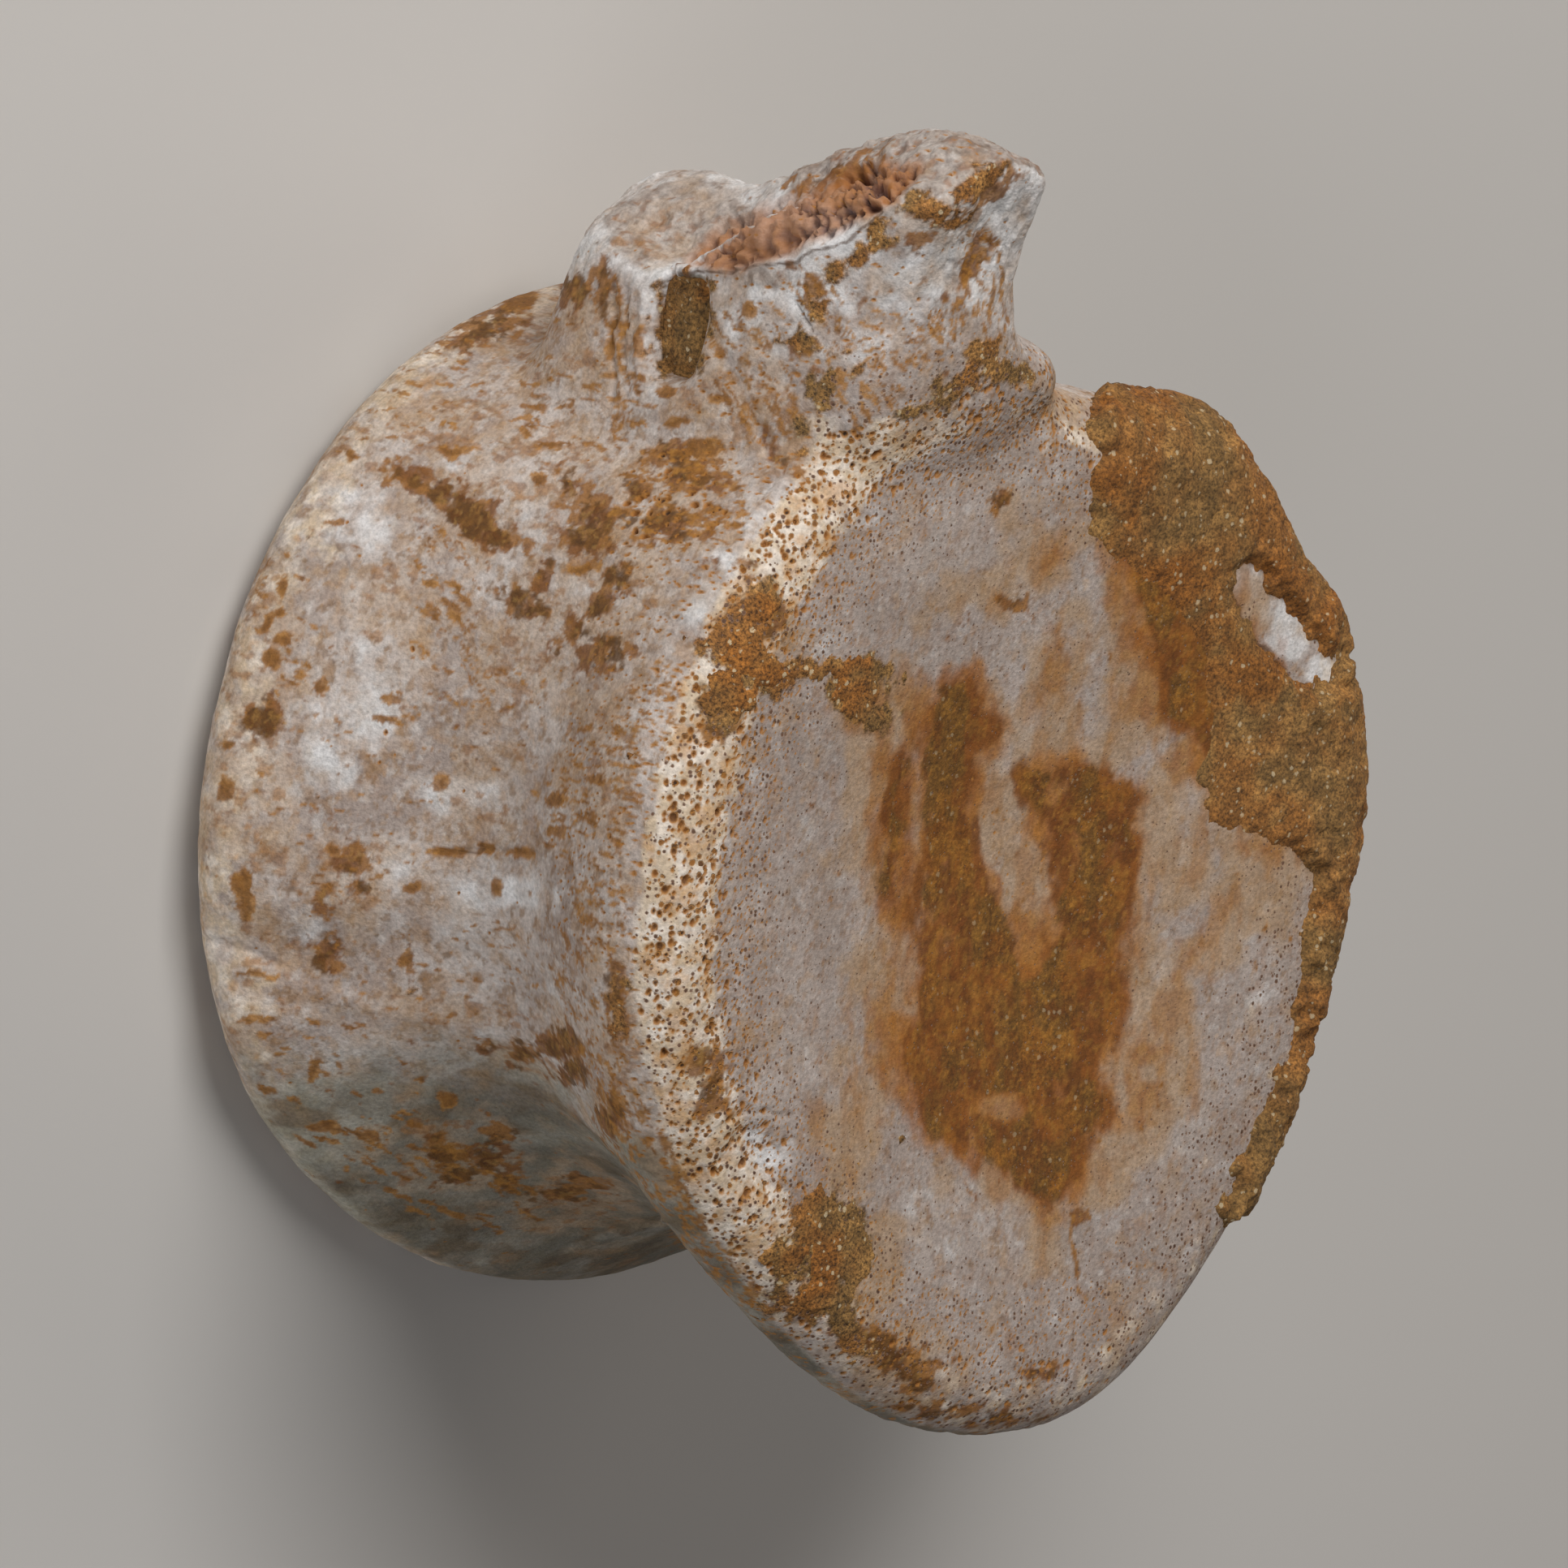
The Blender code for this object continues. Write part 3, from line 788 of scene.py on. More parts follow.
    dashes: tuple[Track, ...] = (
        Track(((532, 1047), (552, 1050), (570, 1051)), 8.5),
        Track(((585, 1049), (598, 1046), (611, 1049)), 9.5),
        Track(((628, 1052), (640, 1050), (654, 1052)), 8.0),
        Track(((518, 712), (540, 724)), 5.0),
        Track(((538, 736), (566, 757)), 4.0),
        Track(((700, 1002), (722, 1009), (740, 1016)), 3.4),
        Track(((704, 1022), (730, 1030)), 3.0),
        Track(((745, 1028), (768, 1040)), 4.0),
        Track(((1003, 346), (1014, 358), (1024, 372)), 5.0),
        Track(((752, 392), (755, 420), (752, 446)), 5.0),
        Track(((767, 390), (769, 408), (767, 422)), 3.4),
    )
    grooves: tuple[tuple[Track, float], ...] = (
        (Track(((757, 345), (754, 400), (757, 450), (750, 500)), 5.0), 0.38),
        (Track(((770, 345), (769, 400), (774, 450), (770, 494)), 4.0), 0.26),
        (Track(((427, 690), (412, 790), (396, 890)), 4.0), 0.16),
        (Track(((530, 1048), (576, 1051), (617, 1049), (659, 1051)), 6.5), 0.16),
        (Track(((972, 360), (990, 386), (1016, 429)), 1.8), 0.08),
        (Track(((590, 905), (625, 918), (660, 930), (684, 942)), 2.2), 0.05),
        (Track(((700, 1000), (707, 1050), (716, 1110)), 3.5), -0.16),
        (Track(((240, 1153), (262, 1160), (300, 1172), (350, 1190)), 9.0), 0.2),
        (Track(((262, 1186), (330, 1202), (430, 1236), (560, 1262), (680, 1280)), 24.0), -0.2),
        (Track(((600, 1322), (690, 1362), (761, 1398), (800, 1440), (829, 1506)), 24.0), -0.3),
        (Track(((690, 1546), (760, 1520), (830, 1502)), 7.0), -0.30),
        (Track(((868, 1412), (886, 1388), (924, 1369), (980, 1373)), 7.0), 0.16),
        (Track(((866, 380), (905, 470), (950, 560), (985, 600)), 14.0), 0.20),
        (Track(((886, 700), (920, 650), (970, 590), (1000, 560)), 8.0), -0.24),
        (Track(((790, 470), (790, 400), (797, 350), (832, 332), (866, 346)), 9.0), -0.34),
    )
    cracks: tuple[Track, ...] = (
        Track(((972, 360), (990, 386), (1016, 429)), 1.3),
        Track(((560, 1048), (576, 1052), (592, 1051)), 1.6),
        Track(((840, 336), (940, 331), (1000, 316), (1060, 290), (1090, 262)), 2.6),
    )
    trough: Track = Track(
        ((850, 318), (900, 306), (960, 284), (1020, 254), (1076, 230), (1130, 204)), 31.0
    )
    pit: Outline = Outline((
        (808, 380), (814, 358), (828, 344), (840, 352), (856, 374), (871, 390), (871, 430), (866, 466),
        (850, 471), (836, 466), (808, 470), (805, 430),
    ))
    fibres: tuple[Track, ...] = tuple(
        Track(((1262 - 9 * k, 258), (1243 - 9 * k, 322), (1242 - 8 * k, 380), (1268 - 10 * k, 424)), 2.4)
        for k in range(10)
    )
    break_edge: Track = Track((
        (826, 332), (880, 333), (940, 330), (1000, 314), (1060, 290), (1110, 244), (1180, 214),
        (1250, 192),
    ), 7.0)
    rough_break: Blots = blots(
        (830, 270, 100, 50, -14), (1180, 190, 90, 30, 4), (940, 345, 40, 14),
    )
    dent: Blot = Blot(926, 1430, 46, 52, 20)
    dent_pores: Blots = blots(
        (927, 1440, 9, 7, 30), (928, 1476, 6, 8), (880, 1452, 6, 8), (936, 1412, 4, 5), (953, 1421, 5, 5),
        (900, 1383, 6, 5), (951, 1392, 5, 5), (960, 1408, 5, 4), (846, 1390, 6, 5), (820, 1308, 6, 6),
        (905, 1508, 4, 6), (928, 1506, 5, 5), (898, 1436, 3, 5), (944, 1440, 5, 5), (958, 1448, 4, 4),
        (972, 1440, 4, 4), (912, 1408, 5, 4), (940, 1466, 4, 4), (918, 1462, 3, 3), (860, 1405, 5, 3),
        (832, 1013, 8, 10), (870, 1083, 7, 5), (826, 1101, 8, 6), (812, 1133, 6, 5), (806, 1146, 7, 5),
        (822, 1170, 5, 12), (819, 1184, 4, 5), (930, 914, 5, 6), (937, 936, 6, 5), (918, 930, 3, 4),
        (946, 1018, 5, 5), (881, 941, 4, 5), (897, 1045, 5, 4), (867, 970, 7, 6), (890, 972, 7, 6),
        (889, 998, 8, 6), (833, 992, 7, 5), (838, 1052, 8, 5), (850, 1082, 5, 12, 10),
    )


@dataclass(frozen=True)
class CrustMarks:
    """Outlines of the crusts of rock, in the photograph's pixels."""

    upper: Marks = (
        Outline((
            (1352, 462), (1338, 520), (1350, 560), (1338, 600), (1346, 640), (1364, 680), (1390, 706),
            (1440, 730), (1478, 790), (1492, 880), (1476, 960), (1490, 1008), (1530, 1028), (1562, 1034),
            (1600, 1052), (1640, 1064), (1680, 1060), (1760, 1040), (1760, 700), (1640, 500), (1500, 400),
            (1400, 410),
        )),
        Outline((
            (1590, 960), (1600, 1040), (1612, 1090), (1609, 1150), (1604, 1200), (1596, 1252), (1584, 1302),
            (1562, 1346), (1543, 1392), (1518, 1446), (1500, 1486), (1520, 1530), (1640, 1440), (1720, 1240),
            (1740, 960),
        )),
    )
    island: Outline = Outline((
        (1516, 706), (1538, 696), (1560, 722), (1590, 756), (1615, 790), (1648, 816), (1642, 840),
        (1616, 847), (1588, 832), (1562, 802), (1538, 772), (1524, 742),
    ))
    warm: Marks = blots(
        (1440, 760, 60, 90), (1500, 810, 60, 60), (1420, 850, 50, 40), (1560, 830, 50, 40),
        (1370, 600, 24, 90), (1600, 740, 40, 60, -30), (1390, 500, 50, 16), (940, 755, 24, 36),
        (1110, 890, 30, 16), (905, 830, 60, 60), (1058, 850, 60, 50), (985, 824, 60, 20),
        (1010, 1560, 40, 60),
    )
    near_rim: Marks = blots(
        (936, 752, 20, 38, 20), (912, 800, 32, 34), (900, 850, 28, 36), (944, 822, 30, 15),
        (1058, 850, 34, 38), (1034, 826, 26, 14), (1086, 884, 14, 16), (988, 824, 36, 10),
    )
    lower: Marks = blots(
        (1008, 1500, 24, 34), (1030, 1545, 36, 44), (972, 1550, 24, 22), (1010, 1595, 32, 26),
        (1052, 1530, 18, 36), (1036, 1628, 20, 14),
    )


class Seen:
    """Points of the bone's surface with where each one shows in the photograph."""

    WARP = ((1.7, 5.0, 211), (0.55, 2.6, 219))  # makes edges ragged: lump in mm, push in pixels, seed
    CELL = 24.0  # pixels, the width of the cells that the points are sorted into
    SPOT_REACH = 10.0  # pixels, how far from a spot its point may lie
    SPOT_SLACK = 6.0  # pixels, how much farther off than the nearest one

    def __init__(self, points: Array, normals: Array, view: PhotoView) -> None:
        """Projects the points.

        Args:
            points: Places in mm.
            normals: Directions that the surface faces.
            view: The photograph's point of view.
        """
        self.points = points
        self.normals = normals
        pixels, self.depth = view.project(points)
        for size, push, seed in self.WARP:
            sideways = Grain.value(points, size, seed)
            upward = Grain.value(points, size, seed + 1)
            pixels = pixels + push * np.stack([sideways, upward], axis=1)
        self.pixels = pixels
        self.facing = normals @ np.array(view.towards)
        self.buckets = Buckets(pixels, self.CELL)
        # the two last numbers of each easing are mm of height, mm up the bone or a share
        high, flat = points[:, 2], points[:, 1]
        on_face = ease(high, 40.6, 42.4) * ease(flat, 42.0, 39.0)
        toward = ease(self.facing, -0.05, 0.12)
        self.zones = {
            Zone.FACE: on_face,
            Zone.SIDE: (1.0 - ease(high, 42.6, 44.4) * ease(flat, 39.0, 36.0)) * toward,
            Zone.BOTH: np.maximum(on_face, toward),
        }

    def edge(self, marks: Iterable[Mark], zone: Zone, outside: float = -1.0) -> Array:
        """Measures how far inside the nearest of some marks each point lies.

        Args:
            marks: The marks.
            zone: The part of the surface that they lie on.
            outside: The least result, in mm.

        Returns:
            Distances in mm, less than 0 outside every mark.
        """
        found = np.full(len(self.points), outside, np.float32)
        margin = -outside * PX_PER_MM
        for mark in marks:
            x, y, radius = mark.reach
            near = self.buckets.near((x, y), radius + margin)
            inside = mark.edge(self.pixels[near]) / PX_PER_MM
            inside = outside + (np.maximum(inside, outside) - outside) * self.zones[zone][near]
            found[near] = np.maximum(found[near], inside)
        return found

    def share(self, track: Track, zone: Zone) -> Array:
        """Measures how far inside a track each point lies, from 0 at its edge to 1 on its line."""
        return self.edge([track], zone) * PX_PER_MM / track.half_width

    def spot(self, pixel: Pair) -> int:
        """Finds the point that shows at a pixel.

        Args:
            pixel: The place in the photograph's frame.

        Returns:
            The point's number.
        """
        near = self.buckets.near(pixel, self.SPOT_REACH)
        near = near[self.facing[near] > 0.0]
        away = np.linalg.norm(self.pixels[near] - pixel, axis=1)
        near = near[away < away.min() + self.SPOT_SLACK]
        return int(near[np.argmin(self.depth[near])])


@dataclass(frozen=True)
class PoreField:
    """One family of open pores: sizes in mm, and how many."""

    count: int
    spacing: float  # the width of the cells that hold one pore at most
    radius: Pair
    depth: float
    stretch: float  # length over width
    along: Triple  # the direction of the length
    filled: float  # the share that rust fills


@dataclass
class BoneSkin:
    """The bone's fine surface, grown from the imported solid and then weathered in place."""

    source: Body
    view: PhotoView
    coarse: float = 0.44  # mm between points, halved once the surface is laid out
    settle: int = 7
    face_centre: Pair = (0.0, -7.6)
    mesh: Mesh = field(init=False)
    seen: Seen = field(init=False)
    inset: dict[str, Array] = field(init=False)  # mm inward from each rim
    fields: dict[str, Array] = field(init=False)
    push: Array = field(init=False)  # mm outward
    front: Array = field(init=False)
    rear: Array = field(init=False)
    flank: Array = field(init=False)
    arch: Array = field(init=False)
    shaded_underside: Array = field(init=False)
    open_side: Array = field(init=False)  # the front rim that no crust covers

    DRAWN = ("grit", "crack", "speck", "pitted", "sponge", "hollow", "hole", "fill")
    RIM_PORES = PoreField(1050, 0.6, (0.09, 0.26), 0.3, 1.15, (0.0, 1.0, 0.0), 0.85)
    FACE_PORES = PoreField(2400, 0.5, (0.05, 0.095), 0.08, 1.1, (0.0, 1.0, 0.0), 0.4)
    VALLEY_PORES = PoreField(3000, 0.5, (0.06, 0.13), 0.16, 2.6, (0.3, 0.0, 1.0), 0.75)
    FLANK_PORES = PoreField(220, 1.6, (0.06, 0.11), 0.12, 1.5, (0.2, 0.0, 1.0), 0.5)
    SPONGY_PORES = PoreField(46, 0.7, (0.1, 0.3), 0.4, 1.3, (0.0, 0.3, 1.0), 0.65)
    REAR_PORES = PoreField(2200, 0.6, (0.08, 0.21), 0.3, 1.2, (0.0, 1.0, 0.0), 0.8)
    SEEN_PORES = PoreField(0, 0.0, (0.0, 0.0), 0.35, 1.2, (0.0, 1.0, 0.0), 0.5)
    SEEN_SHARE = 0.66  # a pore's radius over its mark's
    SPONGY = blots((830, 620, 64, 60, 0))  # bone with its marrow cells open, below the pit
    PORE_EDGE = 0.06  # mm, how softly a pore's edge begins
    MOST_SMALL = 2.2  # draws pores and blots of the smaller sizes more often

    # places in the photograph's pixels
    OPEN_COLUMNS = (1440.0, 1240.0)  # from here to there the front rim gets its open pores
    CREAM_ROWS = (1680.0, 1500.0)  # from here up to there the rim turns cream
    PORE_ROWS = (1680.0, 1560.0)  # from here up to there its pores grow more
    OPEN_END = (130.0, 220.0)  # along the trough, where its cells open wider

    FRONT_RIM, REAR_RIM = 41.0, 9.0  # mm, the rims are above the first height and below the second
    SECTORS = 72  # round a joint face, to find its rim
    RIM_RADIUS = (34.0, 42.5)  # mm, the least and the most
    # relief in mm, width of its lumps in mm, octaves, seed
    GROWTH = ((0.20, 10.0, 2, 3), (0.085, 3.2, 3, 7), (0.030, 1.0, 2, 11))
    # ARCH_WHITE pales the whole arch: paler bone, and partly painted light where the lamps leave the arch
    # darker
    ARCH_WHITE, FLANK_WHITE, ISLAND_WHITE = 0.85, 0.62, 0.95
    CRACK_DEPTH, FIBRE_DEPTH, DENT_DEPTH, BREAK_RISE = 0.12, 0.16, 0.5, 0.24  # mm
    MARROW_CELL = (0.64, 1.3)  # mm along the trough and across it

    def build(self) -> Mesh:
        """Grows the surface, weathers it and writes its fields.

        Returns:
            The finished mesh, in metres.
        """
        self.mesh = self._grow()
        points, normals = read_points(self.mesh)
        self.seen = Seen(points, normals, self.view)
        self.push = np.zeros(len(points), np.float32)
        self._locate()
        self._stain()
        self._weather()
        self._carve()
        self._open_pores()
        self._write()
        return self.mesh

    def _grow(self) -> Mesh:
        """Welds the solid's facets, rounds them and divides them finely."""
        body = welded_body(self.source, "bone_start")
        divide(body, 2)
        even_out(body, self.coarse, self.settle)
        even_mesh = applied(body)
        body.modifiers.clear()
        body.data = even_mesh
        self._lay_out(body)
        divide(body, 1)
        mesh = applied(body)
        mesh.name = "fossil_bone"
        bpy.data.objects.remove(body)
        return mesh

    @staticmethod
    def _lay_out(body: Body) -> None:
        """Unwraps the even surface while it is still smooth, so that its map has few cuts.

        Args:
            body: The object that wears the mesh.
        """
        mesh = body.data
        while mesh.uv_layers:
            mesh.uv_layers.remove(mesh.uv_layers[0])
        mesh.uv_layers.new(name="OFBake")
        bpy.ops.object.select_all(action="DESELECT")
        body.select_set(True)
        bpy.context.view_layer.objects.active = body
        bpy.ops.object.mode_set(mode="EDIT")
        bpy.ops.mesh.select_all(action="SELECT")
        bpy.ops.uv.smart_project(angle_limit=1.15, island_margin=0.003, scale_to_bounds=True)
        bpy.ops.object.mode_set(mode="OBJECT")

    def _locate(self) -> None:
        """Works out how far each point is from the rims, and which part of the bone it is on."""
        points, normals = self.seen.points, self.seen.normals
        away = points[:, :2] - self.face_centre
        radius = np.hypot(away[:, 0], away[:, 1])
        turn = np.degrees(np.arctan2(away[:, 1], away[:, 0])) % 360.0 / (360.0 / self.SECTORS)
        sector = turn.astype(int)
        high = points[:, 2]
        self.inset = {}
        for name, rim in (("front", high > self.FRONT_RIM), ("rear", high < self.REAR_RIM)):
            reach = np.zeros(self.SECTORS)
            np.maximum.at(reach, sector[rim], radius[rim])
            reach = np.clip(reach, *self.RIM_RADIUS)
            reach = (reach + np.roll(reach, 1) + np.roll(reach, -1)) / 3.0
            closed = np.concatenate([reach[-1:], reach, reach[:1]])
            around = np.interp(turn - 0.5, np.arange(-1, self.SECTORS + 1), closed)
            self.inset[name] = around - radius
        # heights and places up the bone are in mm
        body = ease(points[:, 1], 37.0, 31.0)
        self.front = ease(high, 42.4, 43.8) * body
        self.rear = ease(high, 11.0, 5.0)
        self.flank = (1.0 - ease(high, 42.6, 44.0) * body) * ease(high, 3.0, 6.0)
        self.arch = ease(points[:, 1], 33.5, 38.0)
        # the underside faces away from the lamps, and a coat of painted shade darkens it
        self.shaded_underside = ease(-normals[:, 1], 0.25, 0.75) * self.flank
        self.open_side = ease(self.seen.pixels[:, 0], *self.OPEN_COLUMNS)

    def _stain(self) -> None:
        """Writes where the sand film, the rust and the other colours lie."""
        # the easings of edges are in mm from a mark's edge, of insets in mm from the rim
        face, side, crust, seen = FaceMarks(), SideMarks(), CrustMarks(), self.seen
        points = seen.points
        hidden = ease(seen.facing, 0.05, -0.15)
        film = seen.edge((face.inner_film, *face.middle_film), Zone.FACE, -2.0)
        bare = seen.edge((*face.bare_spots, crust.island), Zone.FACE)
        film = np.minimum(film, 1.0) - 2.2 * ease(bare, -0.9, 0.6)
        sand = np.maximum.reduce([
            seen.edge((*side.sand, side.pit), Zone.BOTH),
            seen.edge(face.rim_sand, Zone.BOTH),
            self._far_blots(count=26, radius=(1.2, 5.0), seed=31, where=hidden),
        ])
        stain = np.maximum.reduce([
            seen.edge(side.stains, Zone.SIDE),
            seen.edge(face.rim_stains, Zone.BOTH),
            seen.edge(face.rust_spots, Zone.FACE),
            self._far_blots(count=110, radius=(0.6, 3.4), seed=37, where=hidden),
        ])
        rust = np.maximum.reduce([
            seen.edge((*side.rust, *side.dashes), Zone.SIDE),
            seen.edge([face.split], Zone.FACE),
            self._far_blots(count=420, radius=(0.3, 1.0), seed=47, where=hidden),
        ])
        dice = np.random.default_rng(SEED)
        for drift in side.streaks:
            rust = np.maximum(rust, seen.edge(drift.scatter(dice), Zone.BOTH))
        glow = ease(seen.edge(face.haze, Zone.FACE, -2.0), -2.0, 2.2)
        haze = ease(seen.edge(side.haze, Zone.SIDE, -1.6), -1.6, 1.6)
        haze = np.maximum(haze, hidden * ease(Grain.fractal(points, 14.0, 3, 61), -0.1, 0.6))
        island = ease(seen.edge(face.island_white, Zone.FACE), -0.3, 0.4)
        # pale chalky bone on the flank, and painted light on the arch's front
        chalk_and_painted_light = ease(seen.edge(side.white, Zone.BOTH, -1.5), -1.5, 1.5)
        white = np.maximum(self.FLANK_WHITE * chalk_and_painted_light, self.ISLAND_WHITE * island)
        # the arch is paled partly for its bone and partly as painted light
        white = np.maximum(white, self.ARCH_WHITE * self.arch)
        cream = 0.35 + 0.65 * ease(seen.pixels[:, 1], *self.CREAM_ROWS) * self.open_side
        cream = cream * self.front * ease(self.inset["front"], 6.8, 4.6)
        rim = np.maximum(
            cream * ease(points[:, 1], 32.0, 26.0),
            0.6 * self.rear * ease(self.inset["rear"], 7.0, 4.0),
        )
        below = ease(seen.normals[:, 1], -0.1, -0.5)
        moss = ease(seen.edge(side.moss, Zone.SIDE), -1.0, 1.0) * below
        worn = ease(sand + 1.1 * Grain.fractal(points, 1.1, 4, 67), -0.15, 0.3)
        olive = film + 1.6 * Grain.fractal(points * np.array([1.0, 0.7, 1.0]), 3.4, 4, 223)
        specks = 0.5 + 0.5 * ease(self.inset["front"], 17.0, 7.0)
        self.fields = {
            "film": film,
            "olive": olive,
            "grit": np.maximum(0.4 * ease(olive, 0.7, 1.4), worn),
            "sand": worn,
            "rust": rust,
            "stain": np.minimum(stain, 0.6),
            "glow": glow,
            "deep_glow": seen.edge(face.deep_glow, Zone.FACE, -1.5),
            "haze": haze,
            "white": white,
            "rim": rim,
            "moss": np.maximum(moss, 0.8 * self.shaded_underside),
            "shaded_underside": self.shaded_underside,
            "front": self.front,
            "bone": 1.0 - 0.3 * self.front - 0.12 * self.arch,
            "crack": np.maximum(
                seen.edge(side.cracks, Zone.BOTH), seen.edge([face.island_edge], Zone.FACE)
            ),
            "crust": seen.edge((*crust.upper, *crust.near_rim, *crust.lower), Zone.FACE),
            "sponge": seen.edge([side.trough], Zone.SIDE),
            "speck": self.front * specks * (1.0 - island),
            "fibre": self.flank * ease(points[:, 2], 24.0, 34.0),
        }

    def _far_blots(self, count: int, radius: Pair, seed: int, where: Array) -> Array:
        """Scatters blots over the side that the photograph does not show.

        Args:
            count: How many blots.
            radius: The least and the most radius, in mm.
            seed: Picks the places.
            where: How likely each point is to be a middle.

        Returns:
            Distances inside the nearest blot in mm, -1 at the least.
        """
        dice = np.random.default_rng(seed)
        points = self.seen.points
        found = np.full(len(points), -1.0, np.float32)
        middles = dice.choice(len(points), count, p=where / where.sum())
        swing = np.stack([Grain.value(points, 1.3, seed + axis) for axis in range(3)], axis=1)
        warped = points + 0.5 * swing
        space = Buckets(warped, 2.0)
        for middle in middles:
            size = radius[0] + (radius[1] - radius[0]) * dice.uniform() ** self.MOST_SMALL
            stretch = dice.uniform(1.0, 2.2)
            near = space.near(points[middle], size * stretch + 1.0)
            away = warped[near] - points[middle]
            axis = np.array([0.0, 0.0, 1.0]) if dice.uniform() < 0.7 else np.array([0.0, 1.0, 0.0])
            along = away @ axis
            far = np.sqrt((away * away).sum(1) - along**2 + (along / stretch) ** 2)
            found[near] = np.maximum(found[near], (size - far) * where[near] - (1.0 - where[near]))
        return found

    def _weather(self) -> None:
        """Gives the whole surface its uneven growth, fibres and rough breaks."""
        points, seen, side = self.seen.points, self.seen, SideMarks()
        face_calm = 1.0 - 0.7 * self.front
        top = ease(points[:, 1], 42.5, 45.5) * ease(seen.normals[:, 1], 0.1, 0.6)
        rough = np.maximum(ease(seen.edge(side.rough_break, Zone.SIDE), -0.6, 0.8), top)
        self.push += rough * (0.34 * Grain.fractal(points, 1.5, 3, 23) - 0.05)
        self.fields["broken"] = rough
        for relief, lump, octaves, seed in self.GROWTH:
            self.push += relief * face_calm * Grain.fractal(points, lump, octaves, seed)
        # fibres run along the drum, and up the arch
        fibre = Grain.fractal(points * np.array([1.0, 1.0, 0.22]), 0.7, 2, 17)
        rising = Grain.fractal(points * np.array([1.0, 0.22, 1.0]), 0.8, 2, 19)
        self.push += 0.085 * self.fields["fibre"] * (1.0 - self.arch) * fibre
        self.push += 0.2 * self.arch * (1.0 - 0.7 * self.fields["broken"]) * rising

    def _carve(self) -> None:
        """Cuts the grooves, the trough's plates, the sharp break, the dent and the cracks."""
        seen, side = self.seen, SideMarks()
        for track, depth in side.grooves:
            self.push -= depth * ease(seen.share(track, Zone.BOTH), 0.0, 1.0)
        self.push -= self.CRACK_DEPTH * ease(self.fields["crack"], -0.06, 0.06)
        for track in side.fibres:
            self.push -= self.FIBRE_DEPTH * ease(seen.share(track, Zone.SIDE), -0.2, 1.0)
        self._break_marrow(side.trough)
        ridge = ease(seen.share(side.break_edge, Zone.SIDE), -0.2, 1.0)
        self.push += self.BREAK_RISE * ridge
        dent = ease(seen.edge([side.dent], Zone.BOTH), -0.5, 1.4)
        self.push -= self.DENT_DEPTH * dent
        # the raised break edge is painted pale: bare bone, and partly a painted highlight along its crest
        self.fields["white"] = np.maximum.reduce([self.fields["white"], 0.6 * ridge, 1.1 * dent])

    def _break_marrow(self, trough: Track) -> None:
        """Breaks the marrow's plates open along the trough.

        Args:
            trough: The trough's line, on the arch's root.
        """
        near = np.flatnonzero(self.fields["sponge"] > -0.9)
        points = self.seen.points[near]
        along, beside = trough.measure(self.seen.pixels[near])
        bend = Grain.fractal(points, 2.4, 2, 71)
        across = beside / PX_PER_MM
        lengthwise = (along / PX_PER_MM + 0.3 * across) / self.MARROW_CELL[0] + 1.6 * bend
        crosswise = across / self.MARROW_CELL[1] + 0.9 * bend
        cells = np.stack([lengthwise, crosswise, np.full(len(near), 0.5)], axis=1)
        gap, number = Grain.grains(cells, 1.0, 73)
        open_end = 0.4 * ease(along, *self.OPEN_END)
        cell = ease(gap, 0.62, 0.22) * (0.3 + 0.5 * number + open_end)
        inside = ease(
            self.fields["sponge"][near] + 0.5 * Grain.fractal(points, 1.6, 3, 79), -0.3, 0.5
        )
        self.push[near] -= inside * (0.2 + 1.1 * cell - 0.5 * Grain.fractal(points, 0.9, 3, 83))
        self.fields["hollow"] = np.zeros(len(self.seen.points), np.float32)
        self.fields["hollow"][near] = inside * cell

    def _open_pores(self) -> None:
        """Opens the pores: the ones seen in the photograph, and scattered families."""
        seen, side = self.seen, SideMarks()
        count = len(seen.points)
        self.fields["hole"] = np.full(count, -0.5, np.float32)
        self.fields["fill"] = np.zeros(count, np.float32)
        space = Buckets(seen.points, 0.8)
        for blot in side.dent_pores + side.pores:
            size = self.SEEN_SHARE * math.sqrt(blot.half_width * blot.half_height) / PX_PER_MM
            spot = seen.points[seen.spot((blot.x, blot.y))]
            family = self.SEEN_PORES
            self._open(space, spot, size, family, family.stretch, family.filled)
        bare = ease(self.fields["sand"], 0.6, 0.1) * ease(self.fields["white"], 1.2, 0.8)
        bare = bare * ease(self.fields["crust"], 0.3, -0.1)
        sponge = ease(seen.edge(self.SPONGY, Zone.SIDE), -0.2, 0.6)
        inset, points = self.inset["front"], seen.points
        likely = self.open_side * (0.4 + 0.6 * ease(seen.pixels[:, 1], *self.PORE_ROWS))
        rim = self.front * ease(inset, 9.0, 5.0) * ease(inset, 0.4, 1.2) * likely
        inner = self.front * ease(inset, 13.0, 7.0) * ease(inset, 4.0, 6.0) * likely
        self.fields["pitted"] = rim * bare
        valley = self.flank * ease(points[:, 2], 30.0, 35.0) * (1.0 - 0.7 * self.arch)
        rear = self.rear * ease(self.inset["rear"], 11.0, 4.0) * ease(seen.facing, 0.0, -0.2)
        for family, weight, seed in (
            (self.RIM_PORES, self.fields["pitted"], 101),
            (self.FACE_PORES, inner * bare, 102),
            (self.VALLEY_PORES, valley * bare, 103),
            (self.FLANK_PORES, self.flank * bare, 107),
            (self.SPONGY_PORES, sponge, 108),
            (self.REAR_PORES, rear, 109),
        ):
            self._scatter(space, family, weight, seed)

    def _scatter(self, space: Buckets, family: PoreField, weight: Array, seed: int) -> None:
        """Opens one family of pores where it is likely.

        Args:
            space: The surface's points, sorted by place.
            family: The pores' sizes and number.
            weight: How likely each point is to be a middle.
            seed: Picks the places.
        """
        dice = np.random.default_rng(seed)
        points = self.seen.points
